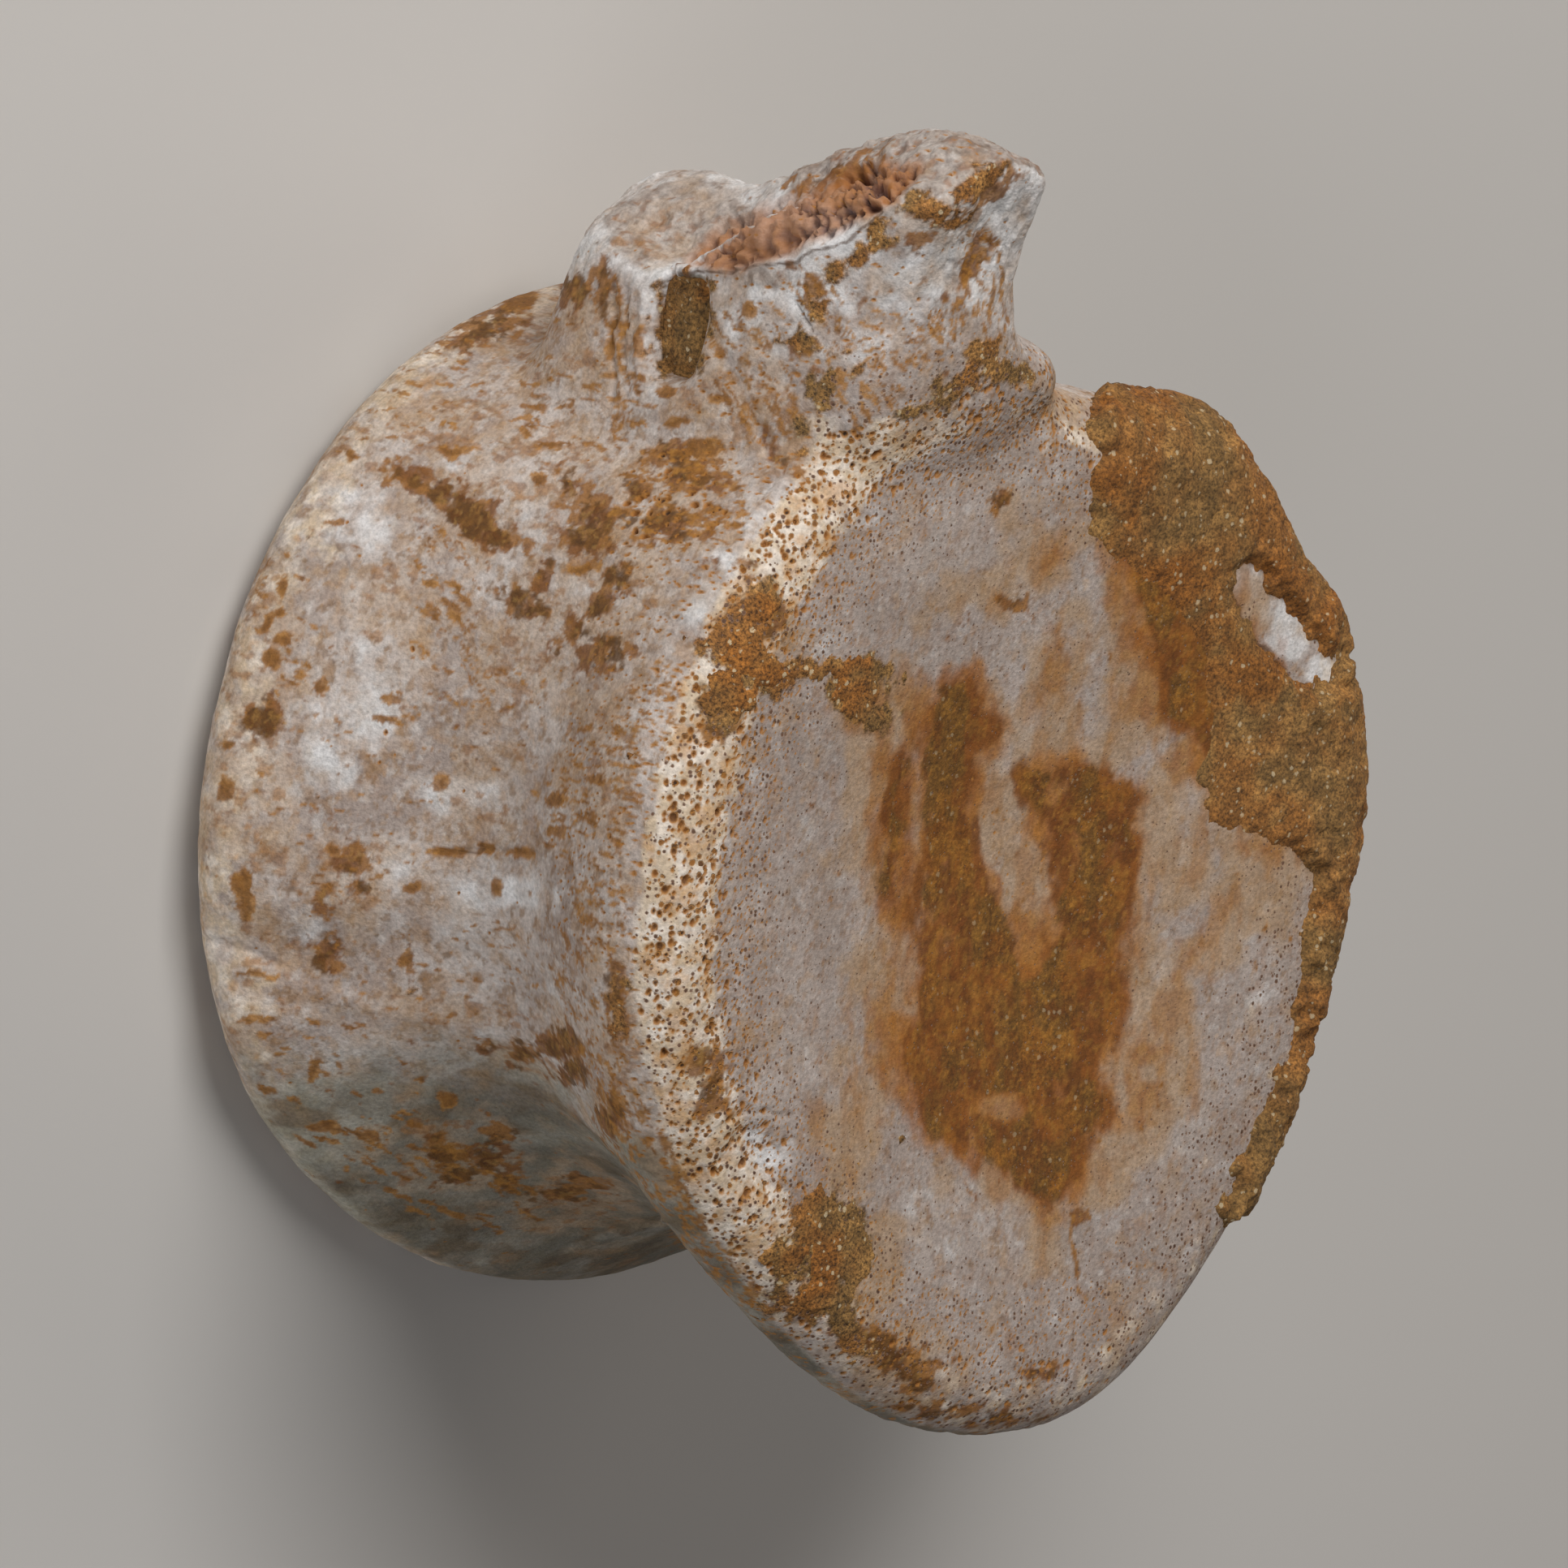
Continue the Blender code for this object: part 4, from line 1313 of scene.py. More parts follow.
        # twice as many tries as pores, as a cell that is taken holds no second one
        picks = dice.choice(len(points), family.count * 2, p=weight / weight.sum())
        small, large = family.radius
        taken: set[tuple[int, ...]] = set()
        for pick in picks:
            spot = points[pick]
            cell = tuple(int(c) for c in np.floor(spot / family.spacing))
            if cell in taken or len(taken) >= family.count:
                continue
            taken.add(cell)
            size = small + (large - small) * dice.uniform() ** self.MOST_SMALL
            filled = 1.0 if dice.uniform() < family.filled else 0.0
            self._open(space, spot, size, family, family.stretch * dice.uniform(0.7, 1.3), filled)

    def _open(
        self,
        space: Buckets,
        spot: Array,
        size: float,
        family: PoreField,
        stretch: float,
        filled: float,
    ) -> None:
        """Opens one pore.

        Args:
            space: The surface's points, sorted by place.
            spot: The pore's middle in mm.
            size: Its radius in mm.
            family: What its depth and direction come from.
            stretch: Its length over its width.
            filled: 1 where rust fills it, 0 where it is dark.
        """
        near = space.near(spot, size * stretch + 0.5)
        away = self.seen.points[near] - spot
        length = away @ (np.array(family.along) / np.linalg.norm(family.along))
        far = np.sqrt(np.maximum((away * away).sum(1) - length**2, 0.0) + (length / stretch) ** 2)
        inside = size - far
        deeper = inside > self.fields["hole"][near]
        chosen = near[deeper]
        self.fields["hole"][chosen] = inside[deeper]
        self.fields["fill"][chosen] = filled
        depth = min(family.depth, size * 1.3)
        self.push[near] -= depth * ease(inside, -self.PORE_EDGE, size * 0.8)

    def _write(self) -> None:
        """Moves the points along their normals, inside the solid's box, and stores the fields."""
        moved = self.seen.points + self.seen.normals * self.push[:, None]
        low, high = np.array(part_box("vertebra")) / MM
        write_points(self.mesh, np.clip(moved, low, high))
        self.mesh.shade_smooth()
        for name in self.DRAWN:
            keep_field(self.mesh, name, self.fields[name])


def start_finish(name: str) -> tuple[bpy.types.Material, Source, Source]:
    """Starts a material for a mesh that carries its colour in the field skin.

    Args:
        name: The material's name.

    Returns:
        The material, the place in mm, and the painted colour.
    """
    material = bpy.data.materials.new(name)
    material.use_nodes = True
    tree = material.node_tree
    tree.nodes.clear()
    where = add_node(tree, "TexCoord")
    place = add_node(
        tree, "VectorMath", {"operation": "SCALE", "Scale": 1.0 / MM}, {0: where.outputs["Object"]}
    )
    skin = add_node(tree, "Attribute", {"attribute_name": "skin"})
    return material, place, skin.outputs["Vector"]


def end_finish(
    tree: Tree,
    look: "PermineralisedBone | SandstoneCrust",
    colour: Source,
    height: Source,
) -> None:
    """Gives a material its surface.

    Args:
        tree: The material's tree.
        look: The finish, for its gloss and the depth of its relief.
        colour: The finished colour.
        height: The finished relief.
    """
    bump = add_node(tree, "Bump", {"Strength": 0.8, "Distance": look.relief * MM}, {"Height": height})
    surface = add_node(
        tree, "BsdfPrincipled", {"Roughness": look.roughness, "IOR": look.ior},
        {"Base Color": colour, "Normal": bump},
    )
    add_node(tree, "OutputMaterial", None, {"Surface": surface})


def lay_over(
    tree: Tree,
    value: Source,
    ramp: Triple,
    under: Source,
    over: Source | str,
    curve: str = "LINEAR",
) -> tuple[Source, Source]:
    """Lays one colour over another where a value is high.

    Args:
        tree: The material's tree.
        value: The number that decides.
        ramp: The value where the upper colour starts, where it is full, and its most share.
        under: The lower colour.
        over: The upper colour, as a socket or as six hex digits.
        curve: How the share rises in between.

    Returns:
        The mixed colour and the upper one's share.
    """
    start, full, most = ramp
    limits = {"interpolation_type": curve, "From Min": start, "From Max": full, "To Max": most}
    share = add_node(tree, "MapRange", limits, {"Value": value})
    settings, links = {"data_type": "RGBA"}, {0: share, 6: under}
    if isinstance(over, str):
        settings[7] = hex_colour(over)
    else:
        links[7] = over
    return add_node(tree, "Mix", settings, links).outputs[2], share


@dataclass(frozen=True)
class SandLook:
    """Sandstone matrix: quartz sand bound by iron-stained cement, which looks matt, ochre and gritty."""

    mid: str = "8a5c2a"
    light: str = "a37b45"
    olive: str = "7d5e33"
    rusty: str = "87531c"
    pale_grain: str = "dac7a2"
    grain: float = 0.55  # mm, coarse ones; the rest is fine sand
    fine: float = 0.27  # mm, the finest sand that still shows

    def paint(self, points: Array, warm: Array) -> Array:
        """Colours the cement in broad patches.

        Args:
            points: Places in mm.
            warm: How rusty the cement is at each point, from 0 to 1.

        Returns:
            Linear colours.
        """
        mid, light, olive, rusty = linear(self.mid, self.light, self.olive, self.rusty)
        body = blend(mid, olive, ease(Grain.fractal(points, 5.0, 4, 401), -0.5, 0.5))
        body = blend(body, light, 0.5 * ease(Grain.fractal(points, 1.8, 4, 411), 0.0, 0.6))
        worn = warm + 0.7 * Grain.fractal(points, 2.6, 4, 421)
        body = blend(body, rusty, 0.8 * ease(worn, 0.2, 1.0))
        return body * (1.0 + 0.35 * Grain.fractal(points, 0.8, 3, 431))[:, None]

    def grit(self, tree: Tree, place: Source, colour: Source) -> tuple[Source, Source]:
        """Breaks a colour up into grains, as far as the field grit lets it.

        Args:
            tree: The material's tree.
            place: The place in mm.
            colour: The colour so far.

        Returns:
            The gritty colour and its relief.
        """
        much = add_node(tree, "Attribute", {"attribute_name": "grit"}).outputs["Fac"]
        noise = add_node(
            tree, "TexNoise", {"Scale": 1.0 / self.fine, "Detail": 2.0, "Roughness": 0.75},
            {"Vector": place},
        )
        swing = add_node(
            tree, "MapRange", {"From Min": 0.33, "From Max": 0.68, "To Min": -0.75, "To Max": 0.9},
            {"Value": noise},
        )
        factor = add_node(tree, "Math", {"operation": "MULTIPLY_ADD", 2: 1.0}, {0: swing, 1: much})
        broken = add_node(tree, "VectorMath", {"operation": "SCALE"}, {0: colour, "Scale": factor})
        cells = add_node(tree, "TexVoronoi", {"Scale": 1.0 / self.grain}, {"Vector": place})
        split = add_node(tree, "SeparateColor", None, {0: cells.outputs["Color"]})
        chosen = add_node(
            tree, "MapRange", {"From Min": 0.5, "From Max": 1.0, "To Max": 0.62}, {"Value": split}
        )
        jagged = add_node(
            tree, "Math", {"operation": "MULTIPLY_ADD", 1: 0.85}, {0: noise, 2: cells.outputs["Distance"]}
        )
        within = add_node(tree, "Math", {"operation": "SUBTRACT"}, {0: chosen, 1: jagged})
        core = add_node(
            tree, "MapRange", {"From Min": -0.26, "From Max": -0.14, "To Max": 0.75}, {"Value": within}
        )
        grain = add_node(tree, "Math", {"operation": "MULTIPLY"}, {0: core, 1: much})
        speckled = add_node(
            tree, "Mix", {"data_type": "RGBA", 7: hex_colour(self.pale_grain)}, {0: grain, 6: broken}
        )
        relief = add_node(tree, "Math", {"operation": "MULTIPLY"}, {0: noise, 1: much})
        return speckled.outputs[2], relief


@dataclass(frozen=True)
class Coat:
    """One coat of colour on the bone, laid where a field of its skin is high enough."""

    source: str
    low: float  # the field's value where the coat starts
    high: float  # the value where it is full
    first: str
    second: str
    strength: float = 1.0
    ragged: float = 0.0  # how far noise moves the field's value
    lump: float = 1.0  # mm, the size of the ragged edge's lumps
    mottle: float = 0.7  # mm, the size of the two colours' patches
    stretch: Triple = (1.0, 1.0, 1.0)

    MOST_NOISE = 1.2

    def lay(self, points: Array, values: Array, colours: Array, seed: int) -> None:
        """Lays the coat over the colours so far, in place.

        Args:
            points: Places in mm.
            values: The field that says where the coat lies.
            colours: Linear colours, which change.
            seed: Picks the coat's own noise.
        """
        near = np.flatnonzero(values > self.low - self.MOST_NOISE * self.ragged)
        place = points[near]
        edge = Grain.fractal(place * np.array(self.stretch), self.lump, 4, seed)
        mask = self.strength * ease(values[near] + self.ragged * edge, self.low, self.high)
        patch = ease(Grain.fractal(place, self.mottle, 3, seed + 9), -0.4, 0.4)
        first, second = linear(self.first, self.second)
        colours[near] = blend(colours[near], blend(first, second, patch), mask)


@dataclass(frozen=True)
class Pits:
    """Scattered pits too fine for the mesh, which only the material draws."""

    source: str  # the field that says how wide they are, from 0 to 1
    spacing: float  # mm
    edge: str
    middle: str


@dataclass(frozen=True)
class PermineralisedBone:
    """Fossil bone, its pores filled by mineral and weathered bare: matt, pale grey-lilac and chalky,
    with a fine stipple, so it shows no gloss but the softest sheen on the rims."""

    grey: str = "a6978e"
    pale: str = "c6bab2"
    roughness: float = 0.82
    ior: float = 1.52
    relief: float = 0.12  # mm
    stipple: float = 0.32  # mm; finer grain would not show, so it is drawn this coarse
    marrow_plate: str = "ad6e30"  # rusty plates of the broken marrow
    marrow_cell: str = "672c08"  # the cells between them
    specks: Pits = Pits("speck", 0.42, "9a7a64", "6b4c38")
    pits: Pits = Pits("pitted", 0.6, "bb8440", "9a6222")
    coats: tuple[Coat, ...] = (
        # the bare bone's own patches and flecks, with painted light in two coats: the white coat also
        # brightens the arch, and the last coat is painted shade on the underside
        Coat("bone", 0.9, 1.5, "d4cbc5", "c6bbb4", 0.5, 1.0, 4.4, 2.0),
        Coat("bone", 1.0, 1.5, "b09a8a", "a08a7b", 0.55, 1.0, 2.6, 1.2),
        Coat("front", 0.3, 1.0, "a0938b", "a99c95", 0.6, 0.2, 3.0, 2.2),
        Coat("bone", 1.1, 1.5, "b99672", "a98560", 0.45, 1.0, 1.2, 0.8),
        Coat("bone", 1.16, 1.45, "97703f", "805d36", 0.55, 1.0, 0.62, 0.9),
        Coat("bone", 1.2, 1.5, "dcd7d3", "d2ccc8", 0.4, 1.0, 0.7, 0.9),
        Coat("front", 1.15, 1.5, "8a6f5e", "9c7656", 0.4, 1.1, 0.55, 0.7),
        # pale bone, and on the arch also painted light
        Coat("white", 0.2, 1.1, "dadada", "eaeaeb", 0.85, 0.7, 2.2, 1.1),
        Coat("rim", 0.25, 0.9, "d8c3a6", "f1e5d6", 0.85, 0.5, 1.2, 0.9),
        Coat("rim", 0.9, 1.5, "cc954c", "b9823a", 0.5, 1.0, 1.1, 0.7),
        Coat("broken", 0.3, 1.0, "95857a", "b5a89e", 0.85, 0.5, 1.2, 0.7),
        Coat("broken", 1.1, 1.5, "6f5a48", "94694a", 0.6, 1.1, 0.8, 0.6),
        Coat("moss", 0.1, 1.0, "9b9d8e", "aeab9c", 0.7, 0.3, 3.4, 2.0),
        Coat("moss", 0.9, 1.5, "866a44", "6c5130", 0.6, 1.1, 2.4, 1.2, (1.0, 1.0, 0.4)),
        # painted shade: dark brown-grey on the underside, which faces away from the lamps
        Coat("shaded_underside", 0.3, 1.2, "5a4f39", "443c2c", 0.7, 0.35, 4.0, 2.0, (1.0, 1.0, 0.4)),
        # tan and rusty haze
        Coat("glow", 0.1, 0.9, "b69672", "a9865d", 0.62, 0.7, 2.8, 1.4),
        Coat("glow", 0.7, 1.4, "a87844", "976533", 0.55, 1.0, 1.8, 1.2, (1.0, 0.5, 1.0)),
        Coat("deep_glow", -0.9, 0.8, "a8763a", "965f27", 0.75, 1.0, 1.4, 0.9),
        Coat("haze", 0.4, 1.3, "c2a88c", "b39270", 0.45, 0.9, 2.0, 1.1),
        Coat("haze", 1.2, 1.5, "a5743f", "8a5c30", 0.6, 1.0, 0.8, 0.6, (1.0, 1.0, 0.6)),
        # the film of cement on the joint face
        Coat("film", -1.3, 0.5, "ac6f22", "955711", 0.8, 1.3, 2.4, 1.6, (1.0, 0.7, 1.0)),
        Coat("film", -0.5, 0.8, "874e12", "74410b", 0.9, 1.4, 1.8, 1.3, (1.0, 0.7, 1.0)),
        Coat("olive", 0.7, 1.4, "74521d", "664716", 0.8, 0.3, 1.0, 1.0),
        Coat("film", 0.85, 1.45, "9f6720", "915916", 0.65, 1.6, 2.2, 0.8, (1.0, 0.8, 1.0)),
        Coat("film", 1.15, 1.6, "643406", "713c06", 0.55, 1.6, 1.3, 0.6, (1.0, 0.7, 1.0)),
        Coat("film", 1.2, 1.5, "b48133", "a2722a", 0.35, 1.6, 0.5, 0.5),
        Coat("film", 1.2, 1.5, "553208", "663f0d", 0.35, 1.6, 0.6, 0.5),
        # rust on the flank and the arch
        Coat("stain", -0.28, 0.14, "9b6726", "7e4c15", 0.88, 1.1, 0.9, 1.2),
        Coat("stain", 0.2, 0.6, "744c18", "5d3b0e", 0.85, 1.2, 1.0, 0.9),
        Coat("stain", 0.65, 0.95, "663809", "573710", 0.7, 1.2, 0.6, 0.5),
        Coat("stain", 0.75, 1.05, "a47838", "ab8446", 0.5, 1.2, 0.5, 0.5),
        Coat("rust", -0.05, 0.07, "93601f", "ad7830", 0.85, 0.16, 0.5, 1.0),
        Coat("rust", 0.12, 0.3, "744814", "87591f", 0.7, 0.3, 0.6, 0.6),
    )

    def paint(self, points: Array, fields: dict[str, Array], sand: SandLook) -> Array:
        """Works out the bone's colour coat by coat, the sand film last.

        Args:
            points: Places in mm.
            fields: The skin's fields.
            sand: The look of the sand film.

        Returns:
            Linear colours.
        """
        grey, pale = linear(self.grey, self.pale)
        colours = blend(grey, pale, ease(Grain.fractal(points, 7.0, 4, 301), -0.5, 0.5))
        for number, coat in enumerate(self.coats):
            coat.lay(points, fields[coat.source], colours, 311 + 20 * number)
        near = np.flatnonzero(fields["sand"] > 0.0)
        cement = sand.paint(points[near], np.zeros(len(near), np.float32))
        colours[near] = blend(colours[near], cement, fields["sand"][near])
        return colours

    def make(self, sand: SandLook) -> bpy.types.Material:
        """Builds the material.

        Args:
            sand: The look of the sand film on the bone.

        Returns:
            The material.
        """
        material, place, colour = start_finish("permineralised_bone")
        tree = material.node_tree
        fine = add_node(
            tree, "TexNoise", {"Scale": 1.0 / self.stipple, "Detail": 3.0, "Roughness": 0.6},
            {"Vector": place},
        )
        shade = add_node(
            tree, "MapRange", {"From Min": 0.3, "From Max": 0.7, "To Min": 0.78, "To Max": 1.22},
            {"Value": fine},
        )
        colour = add_node(tree, "VectorMath", {"operation": "SCALE"}, {0: colour, "Scale": shade})
        colour, relief = sand.grit(tree, place, colour)
        sponge, hollow = (
            add_node(tree, "Attribute", {"attribute_name": name}).outputs["Fac"]
            for name in ("sponge", "hollow")
        )
        deeper = add_node(tree, "MapRange", {"From Min": 0.05, "From Max": 0.7}, {"Value": hollow})
        marrow = add_node(
            tree, "Mix",
            {"data_type": "RGBA", 6: hex_colour(self.marrow_plate), 7: hex_colour(self.marrow_cell)},
            {0: deeper},
        )
        colour, _ = lay_over(tree, sponge, (-0.5, 0.5, 0.8), colour, marrow.outputs[2])
        colour, specks = self._pits(tree, place, colour, fine, self.specks)
        colour, pits = self._pits(tree, place, colour, fine, self.pits)
        colour, holes = self._openings(tree, colour, fine)
        height = add_node(tree, "Math", {"operation": "ADD"}, {0: fine, 1: relief})
        for depth, mask in ((0.6, specks), (1.2, pits), (0.8, holes)):
            height = add_node(tree, "Math", {"operation": "MULTIPLY_ADD", 1: -depth}, {0: mask, 2: height})
        end_finish(tree, self, colour, height)
        return material

    @staticmethod
    def _pits(tree: Tree, place: Source, colour: Source, fine: Source, kind: Pits) -> tuple[Source, Source]:
        """Draws one kind of pits.

        Args:
            tree: The material's tree.
            place: The place in mm.
            colour: The colour so far.
            fine: The bone's finest noise.
            kind: The pits.

        Returns:
            The colour with the pits, and how deep in a pit each place is.
        """
        cells = add_node(tree, "TexVoronoi", {"Scale": 1.0 / kind.spacing}, {"Vector": place})
        split = add_node(tree, "SeparateColor", None, {0: cells.outputs["Color"]})
        dense = add_node(tree, "Attribute", {"attribute_name": kind.source})
        size = add_node(tree, "Math", {"operation": "MULTIPLY", 1: 0.46}, {0: split})
        wide = add_node(tree, "Math", {"operation": "MULTIPLY"}, {0: size, 1: dense.outputs["Fac"]})
        jagged = add_node(
            tree, "Math", {"operation": "MULTIPLY_ADD", 1: 0.4}, {0: fine, 2: cells.outputs["Distance"]}
        )
        within = add_node(tree, "Math", {"operation": "SUBTRACT"}, {0: wide, 1: jagged})
        lining = add_node(
            tree, "Mix", {"data_type": "RGBA", 6: hex_colour(kind.middle), 7: hex_colour("43291a")},
            {0: split.outputs[1]},
        )
        colour, edge = lay_over(tree, within, (-0.22, -0.12, 0.85), colour, kind.edge)
        colour, _ = lay_over(tree, within, (-0.14, -0.02, 0.9), colour, lining.outputs[2])
        return colour, edge

    @staticmethod
    def _openings(tree: Tree, colour: Source, fine: Source) -> tuple[Source, Source]:
        """Darkens the pores and the cracks, which the mesh has as shapes.

        Args:
            tree: The material's tree.
            colour: The colour so far.
            fine: The bone's finest noise.

        Returns:
            The colour with the openings, and how deep in a pore each place is.
        """
        hole, fill, crack = (
            add_node(tree, "Attribute", {"attribute_name": name}).outputs["Fac"]
            for name in ("hole", "fill", "crack")
        )
        ragged_hole, ragged_crack = (
            add_node(tree, "Math", {"operation": "MULTIPLY_ADD", 1: much}, links)
            for much, links in ((0.14, {0: fine, 2: hole}), (0.2, {0: fine, 2: crack}))
        )
        lining = add_node(
            tree, "Mix", {"data_type": "RGBA", 6: hex_colour("34221a"), 7: hex_colour("8b561e")}, {0: fill}
        )
        colour, _ = lay_over(tree, ragged_hole, (0.0, 0.1, 0.9), colour, "ae7632")
        colour, deep = lay_over(
            tree, ragged_hole, (0.08, 0.24, 0.92), colour, lining.outputs[2], "SMOOTHSTEP"
        )
        colour, _ = lay_over(tree, ragged_crack, (0.06, 0.2, 0.7), colour, "5a3d22")
        return colour, deep


@dataclass(frozen=True)
class SandstoneCrust:
    """Sandstone left on the fossil by the preparator: gritty and matt, in ochre and brown."""

    roughness: float = 0.93
    ior: float = 1.54
    relief: float = 0.1  # mm

    def make(self, sand: SandLook) -> bpy.types.Material:
        """Builds the material.

        Args:
            sand: The look of the sand.

        Returns:
            The material.
        """
        material, place, colour = start_finish("sandstone_crust")
        colour, relief = sand.grit(material.node_tree, place, colour)
        end_finish(material.node_tree, self, colour, relief)
        return material


@dataclass
class FossilBone:
    """The vertebra itself: one bone with its broken arch."""

    view: PhotoView
    sand: SandLook
    skin: BoneSkin = field(init=False)

    def build(self) -> Body:
        """Makes the bone's piece.

        Returns:
            The piece.
        """
        self.skin = BoneSkin(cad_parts["vertebra"], self.view)
        mesh = self.skin.build()
        finish = PermineralisedBone()
        keep_colours(mesh, finish.paint(self.skin.seen.points, self.skin.fields, self.sand))
        mesh.materials.clear()
        mesh.materials.append(finish.make(self.sand))
        piece = add_object("fossil_bone", mesh)
        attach(piece, "root")
        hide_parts("vertebra")
        return piece


@dataclass(frozen=True)
class CrustPlan:
    """One crust: its names, its outline, and its thickness and relief in mm."""

    name: str
    node: str
    inside: Marks
    holes: Marks = ()
    thin: float = 0.1  # towards the middle of the face
    thick: float = 0.12  # at the rim
    slope: float = 0.4  # how far from its edge it reaches that thickness
    ragged: float = 1.1  # how far its edge strays from the outline
    grit: float = 0.12  # how far its grains stand out
    contrast: float = 1.0  # of its grains' colours


@dataclass
class RockCrusts:
    """The crusts of sandstone, each a thin slab grown on the finished bone; sizes are in mm."""

    view: PhotoView
    sand: SandLook
    bury: float = 0.35  # how deep the crusts reach into the bone
    face_centre: Pair = (0.0, -7.3)
    rim_from: float = 24.0
    rim_full: float = 37.5
    margin: float = 4.0  # how far round a packed crust its slab may reach
    pit_net: float = 0.14
    pit_grip: float = 0.6  # how far the pit's filling reaches into the bone round it
    grain_share: float = 0.62  # a grain's radius over the distance between grains
    spare: float = 0.45  # how far past its ragged edge a slab is grown

    def build(self, bone: Body) -> list[Body]:
        """Makes the crusts.

        Args:
            bone: The finished bone.

        Returns:
            The pieces.
        """
        material = SandstoneCrust().make(self.sand)
        marks = CrustMarks()
        plans = (
            CrustPlan(
                "crust_upper_rock", "crust_upper", marks.upper, (marks.island,),
                thin=0.12, thick=1.25, slope=1.2, ragged=0.5, grit=0.08, contrast=0.8,
            ),
            CrustPlan("crust_near_rim_rock", "crust_near_rim", marks.near_rim),
            CrustPlan("crust_lower_rock", "crust_lower", marks.lower),
        )
        pieces = [
            self._place(plan.name, plan.node, self._slab(bone.data, plan), material) for plan in plans
        ]
        pieces.append(self._place("crust_pit_rock", "crust_pit", self._pit_fill(), material))
        return pieces

    @staticmethod
    def _place(name: str, node: str, mesh: Mesh, material: bpy.types.Material) -> Body:
        """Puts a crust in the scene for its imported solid.

        Args:
            name: The piece's name.
            node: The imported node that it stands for.
            mesh: Its mesh.
            material: Its finish.

        Returns:
            The piece.
        """
        mesh.materials.clear()
        mesh.materials.append(material)
        mesh.shade_smooth()
        piece = add_object(name, mesh)
        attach(piece, "root")
        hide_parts(node)
        return piece

    def _slab(self, bone: Mesh, plan: CrustPlan) -> Mesh:
        """Grows a slab on part of the bone.

        Args:
            bone: The bone's mesh.
            plan: The crust's outline and thickness.

        Returns:
            A closed mesh in metres.
        """
        points, normals = read_points(bone)
        corners = np.empty(len(bone.loops), np.int32)
        bone.loops.foreach_get("vertex_index", corners)
        quads = corners.reshape(-1, 4)
        low, high = np.array(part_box(plan.node)) / MM
        near = np.all((points > low - self.margin) & (points < high + self.margin), axis=1)
        quads = quads[near[quads].all(1)]
        points, normals, quads = self._compact(points, normals, quads)
        reach = self._reach(Seen(points, normals, self.view), plan)
        quads = quads[(reach[quads] > -self.spare - plan.ragged).all(1)]
        points, normals, quads = self._compact(points, normals, quads)
        seen = Seen(points, normals, self.view)
        reach = self._reach(seen, plan) + plan.ragged * Grain.fractal(points, 1.4, 4, 133)
        grit = self._grains(points, plan.grit, 0.3)
        radius = np.hypot(points[:, 0] - self.face_centre[0], points[:, 1] - self.face_centre[1])
        body = plan.thin + (plan.thick - plan.thin) * ease(radius, self.rim_from, self.rim_full)
        body = body * (1.0 + 0.14 * Grain.fractal(points, 4.0, 3, 131))
        body = body + 0.03 * Grain.fractal(points, 1.1, 2, 139)
        over = ease(reach, -0.1, plan.slope) * body + ease(reach, -0.1, 0.15) * grit
        over = over - 0.2 * ease(reach, 0.02, -0.25)
        box_low, box_high = np.array(CAD_BOX) / MM
        top = np.clip(points + normals * over[:, None], box_low, box_high)
        mesh = self._close(top, points - normals * self.bury, quads)
        warm = ease(seen.edge(CrustMarks().warm, Zone.FACE, -2.0), -2.0, 2.5)
        keep_colours(mesh, np.tile(self.sand.paint(points, warm), (2, 1)))
        keep_field(mesh, "grit", np.full(2 * len(points), plan.contrast))
        return mesh

    @staticmethod
    def _reach(seen: Seen, plan: CrustPlan) -> Array:
        """How far inside the crust's outline each point lies, in mm."""
        reach = seen.edge(plan.inside, Zone.FACE)
        if plan.holes:
            reach = np.minimum(reach, -seen.edge(plan.holes, Zone.FACE))
        return reach

    def _grains(self, points: Array, height: float, least: float) -> Array:
        """Works out how far the grains of sand stand out of the cement.

        Args:
            points: Places in mm.
            height: How far a middling grain stands out, in mm.
            least: The share of that height which every grain has at least.

        Returns:
            The relief in mm.
        """
        far, number = Grain.grains(points, self.sand.grain, 137)
        dome = np.clip(1.0 - (far / (self.grain_share * self.sand.grain)) ** 2, 0.0, 1.0)
        return height * dome * (least + number)

    @staticmethod
    def _compact(points: Array, normals: Array, quads: Array) -> tuple[Array, Array, Array]:
        """Drops the points that no quad uses."""
        used, renumbered = np.unique(quads, return_inverse=True)
        return points[used], normals[used], renumbered.reshape(-1, 4)

    @staticmethod
    def _close(top: Array, bottom: Array, quads: Array) -> Mesh:
        """Joins a slab's top and bottom round its open edge.

        Args:
            top: Places of the upper surface in mm.
            bottom: Places of the lower surface, in the same order.
            quads: Corners of each quad of the upper surface.

        Returns:
            A closed mesh in metres.
        """
        count = len(top)
        sides = np.stack([quads, np.roll(quads, -1, axis=1)], axis=2).reshape(-1, 2)
        keys = np.sort(sides, axis=1)
        codes = keys[:, 0].astype(np.int64) * count + keys[:, 1]
        _, first, times = np.unique(codes, return_index=True, return_counts=True)
        open_sides = sides[first[times == 1]]
        start, end = open_sides.T
        walls = np.stack([end, start, start + count, end + count], axis=1)
        faces = np.concatenate([quads, quads[:, ::-1] + count, walls])
        mesh = bpy.data.meshes.new("crust")
        mesh.from_pydata(np.concatenate([top, bottom]) * MM, [], faces)
        mesh.update()
        return mesh

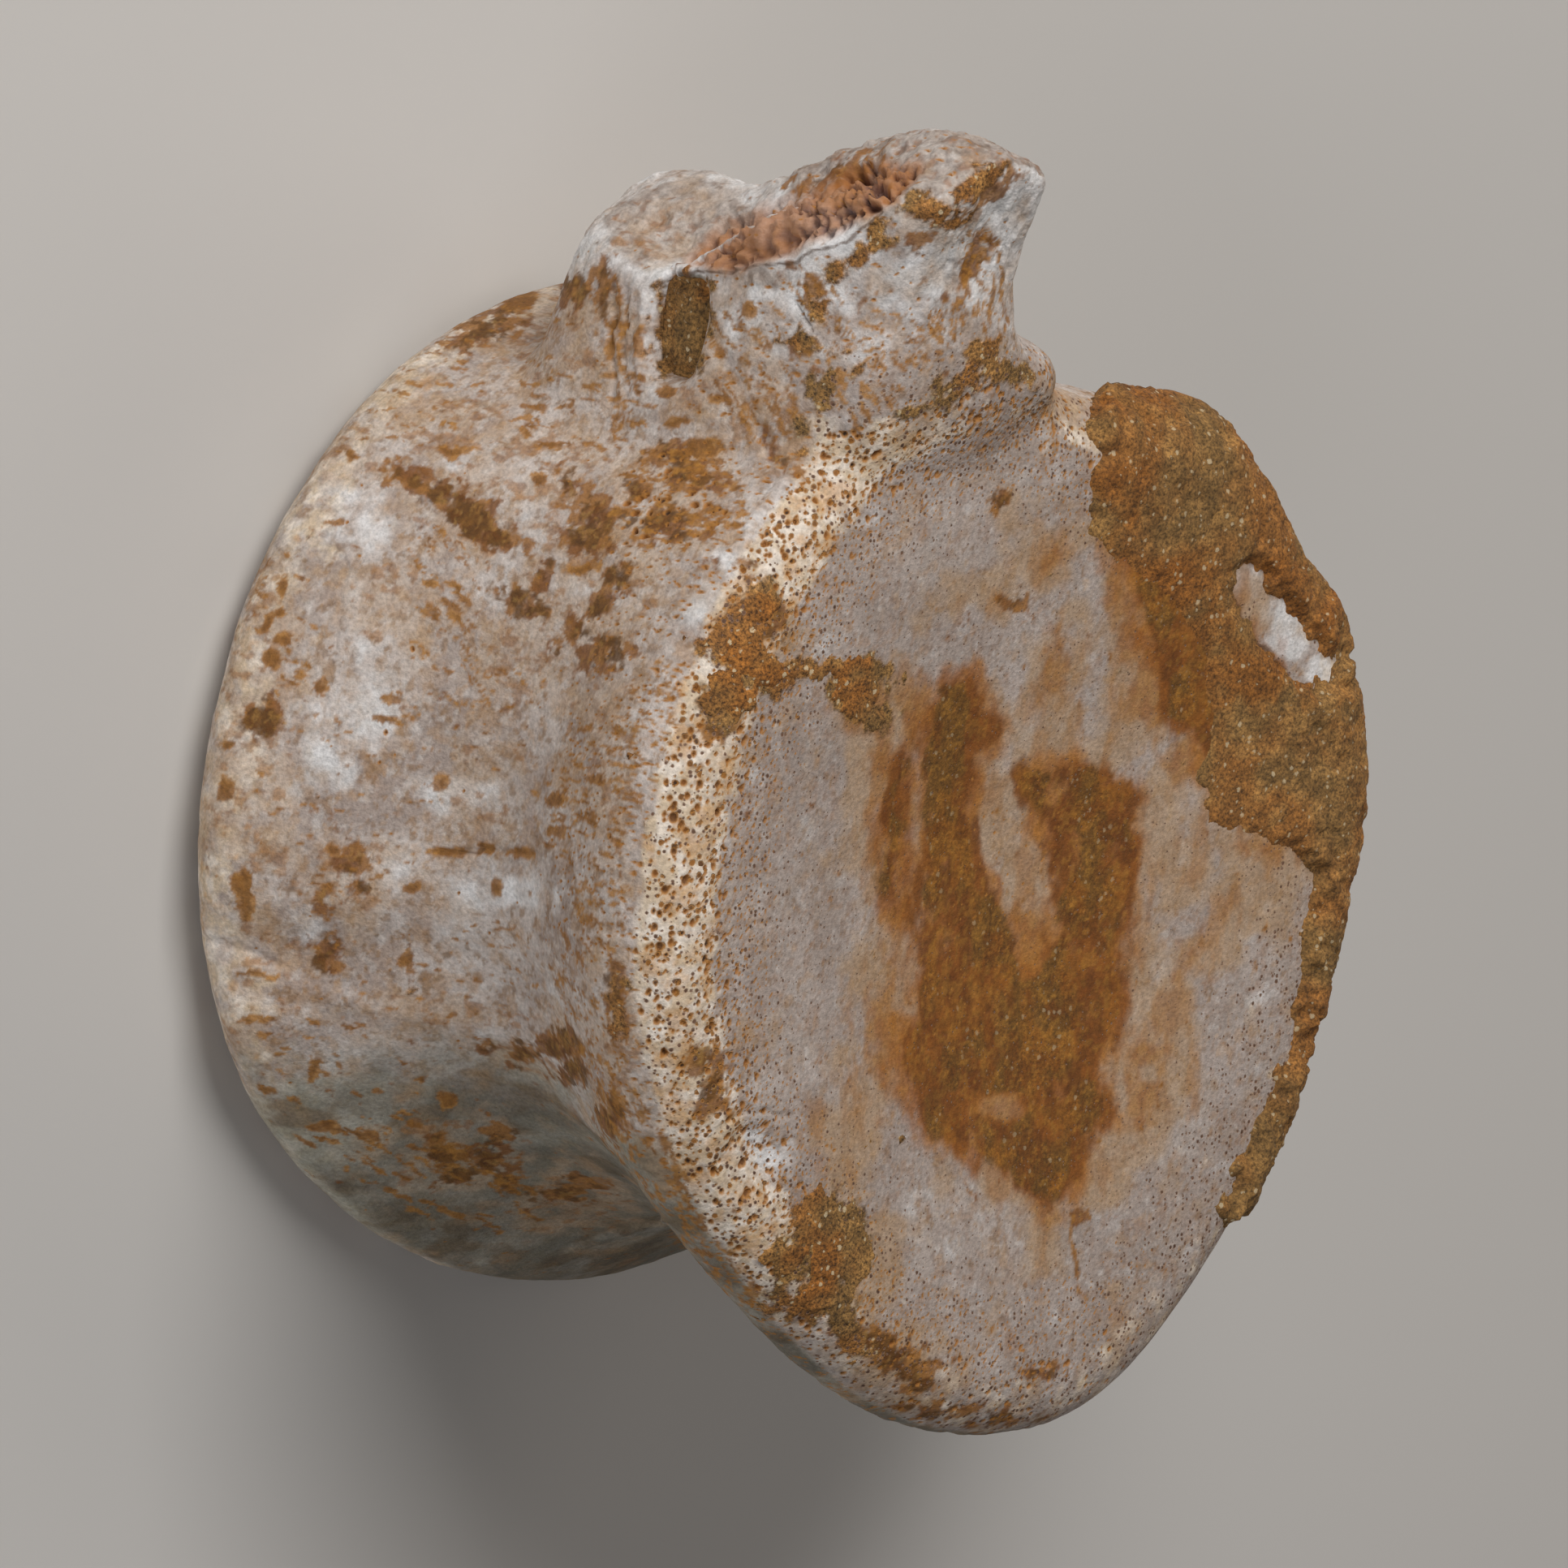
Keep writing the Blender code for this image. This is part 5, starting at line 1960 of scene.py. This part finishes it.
    def _pit_fill(self) -> Mesh:
        """The sand that fills the pit in the arch's root.

        Returns:
            A closed mesh in metres.
        """
        body = welded_body(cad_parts["crust_pit"], "pit_start")
        even_out(body, self.pit_net, 4)
        mesh = applied(body)
        bpy.data.objects.remove(body)
        points, normals = read_points(mesh)
        inward = ease(normals[:, 0], -0.75, -0.45)
        swell = 0.22 * Grain.fractal(points, 1.8, 3, 151) + self.pit_grip * inward - 0.1 * (1.0 - inward)
        write_points(mesh, points + normals * (self._grains(points, 0.1, 0.4) + swell)[:, None])
        keep_colours(mesh, self.sand.paint(points, np.zeros(len(points), np.float32)))
        keep_field(mesh, "grit", np.full(len(points), 0.9))
        return mesh


@dataclass(frozen=True)
class Lamp:
    """A soft square light: where it stands from the bone in mm, its size in mm and its power."""

    name: str
    place: Triple
    size: float
    watts: float
    tint: str


@dataclass
class Studio:
    """A plain pale floor and soft lights."""

    view: PhotoView
    floor_half: float = 3000.0
    floor_colour: str = "cfcdca"
    sky_colour: str = "e6e4e2"
    sky_strength: float = 0.1

    def build(self) -> None:
        """Makes the floor, the sky and the lights."""
        self._floor()
        self._sky()
        axes = [np.array(axis) for axis in (self.view.right, self.view.up, self.view.towards)]
        lamps = (
            Lamp("key_softbox", (300.0, 440.0, 560.0), 420.0, 4.7, "fbf8f5"),
            Lamp("side_fill", (-760.0, -60.0, 860.0), 520.0, 2.65, "f6f7fb"),
            Lamp("low_fill", (-160.0, -560.0, 760.0), 520.0, 1.2, "fcfcff"),
            Lamp("right_fill", (860.0, 160.0, 60.0), 420.0, 0.8, "fff0e0"),
        )
        for lamp in lamps:
            self._light(lamp, sum(axis * far for axis, far in zip(axes, lamp.place)))

    def _floor(self) -> None:
        """Lays the floor at the level that the bone rests on."""
        half = self.floor_half * MM
        mesh = bpy.data.meshes.new("floor")
        corners = [(-half, -half, 0), (half, -half, 0), (half, half, 0), (-half, half, 0)]
        mesh.from_pydata(corners, [], [(0, 1, 2, 3)])
        floor = add_object("floor", mesh)
        material = bpy.data.materials.new("matt_backdrop_paper")
        material.use_nodes = True
        surface = material.node_tree.nodes["Principled BSDF"]
        surface.inputs["Base Color"].default_value = hex_colour(self.floor_colour)
        surface.inputs["Roughness"].default_value = 0.9
        mesh.materials.append(material)

    def _sky(self) -> None:
        """Sets an even pale surrounding."""
        world = bpy.data.worlds.new("studio")
        world.use_nodes = True
        backdrop = world.node_tree.nodes["Background"]
        backdrop.inputs[0].default_value = hex_colour(self.sky_colour)
        backdrop.inputs[1].default_value = self.sky_strength
        bpy.context.scene.world = world

    def _light(self, lamp: Lamp, offset: Array) -> None:
        """Hangs one lamp, turned to the bone.

        Args:
            lamp: The lamp.
            offset: Its place from the middle of the bone in mm.
        """
        data = bpy.data.lights.new(lamp.name, "AREA")
        data.size = lamp.size * MM
        data.energy = lamp.watts
        data.color = hex_colour(lamp.tint)[:3]
        light = add_object(lamp.name, data)
        back = offset / np.linalg.norm(offset)
        across = np.cross((0.0, 0.0, 1.0), back)
        across /= np.linalg.norm(across)
        light.matrix_world = pose([across, np.cross(back, across), back], np.array(self.view.aim) + offset)


def main() -> None:
    """Builds the scene piece by piece."""
    logging.basicConfig(level=logging.INFO, format="%(name)s: %(message)s")
    view = PhotoView()
    view.make_camera()
    Studio(view).build()
    bpy.context.scene.view_settings.view_transform = "Standard"
    sand = SandLook()
    bone = FossilBone(view, sand).build()
    LOG.info("%s: %d faces", bone.name, len(bone.data.polygons))
    for crust in RockCrusts(view, sand).build(bone):
        LOG.info("%s: %d faces", crust.name, len(crust.data.polygons))


if __name__ == "__main__":
    main()
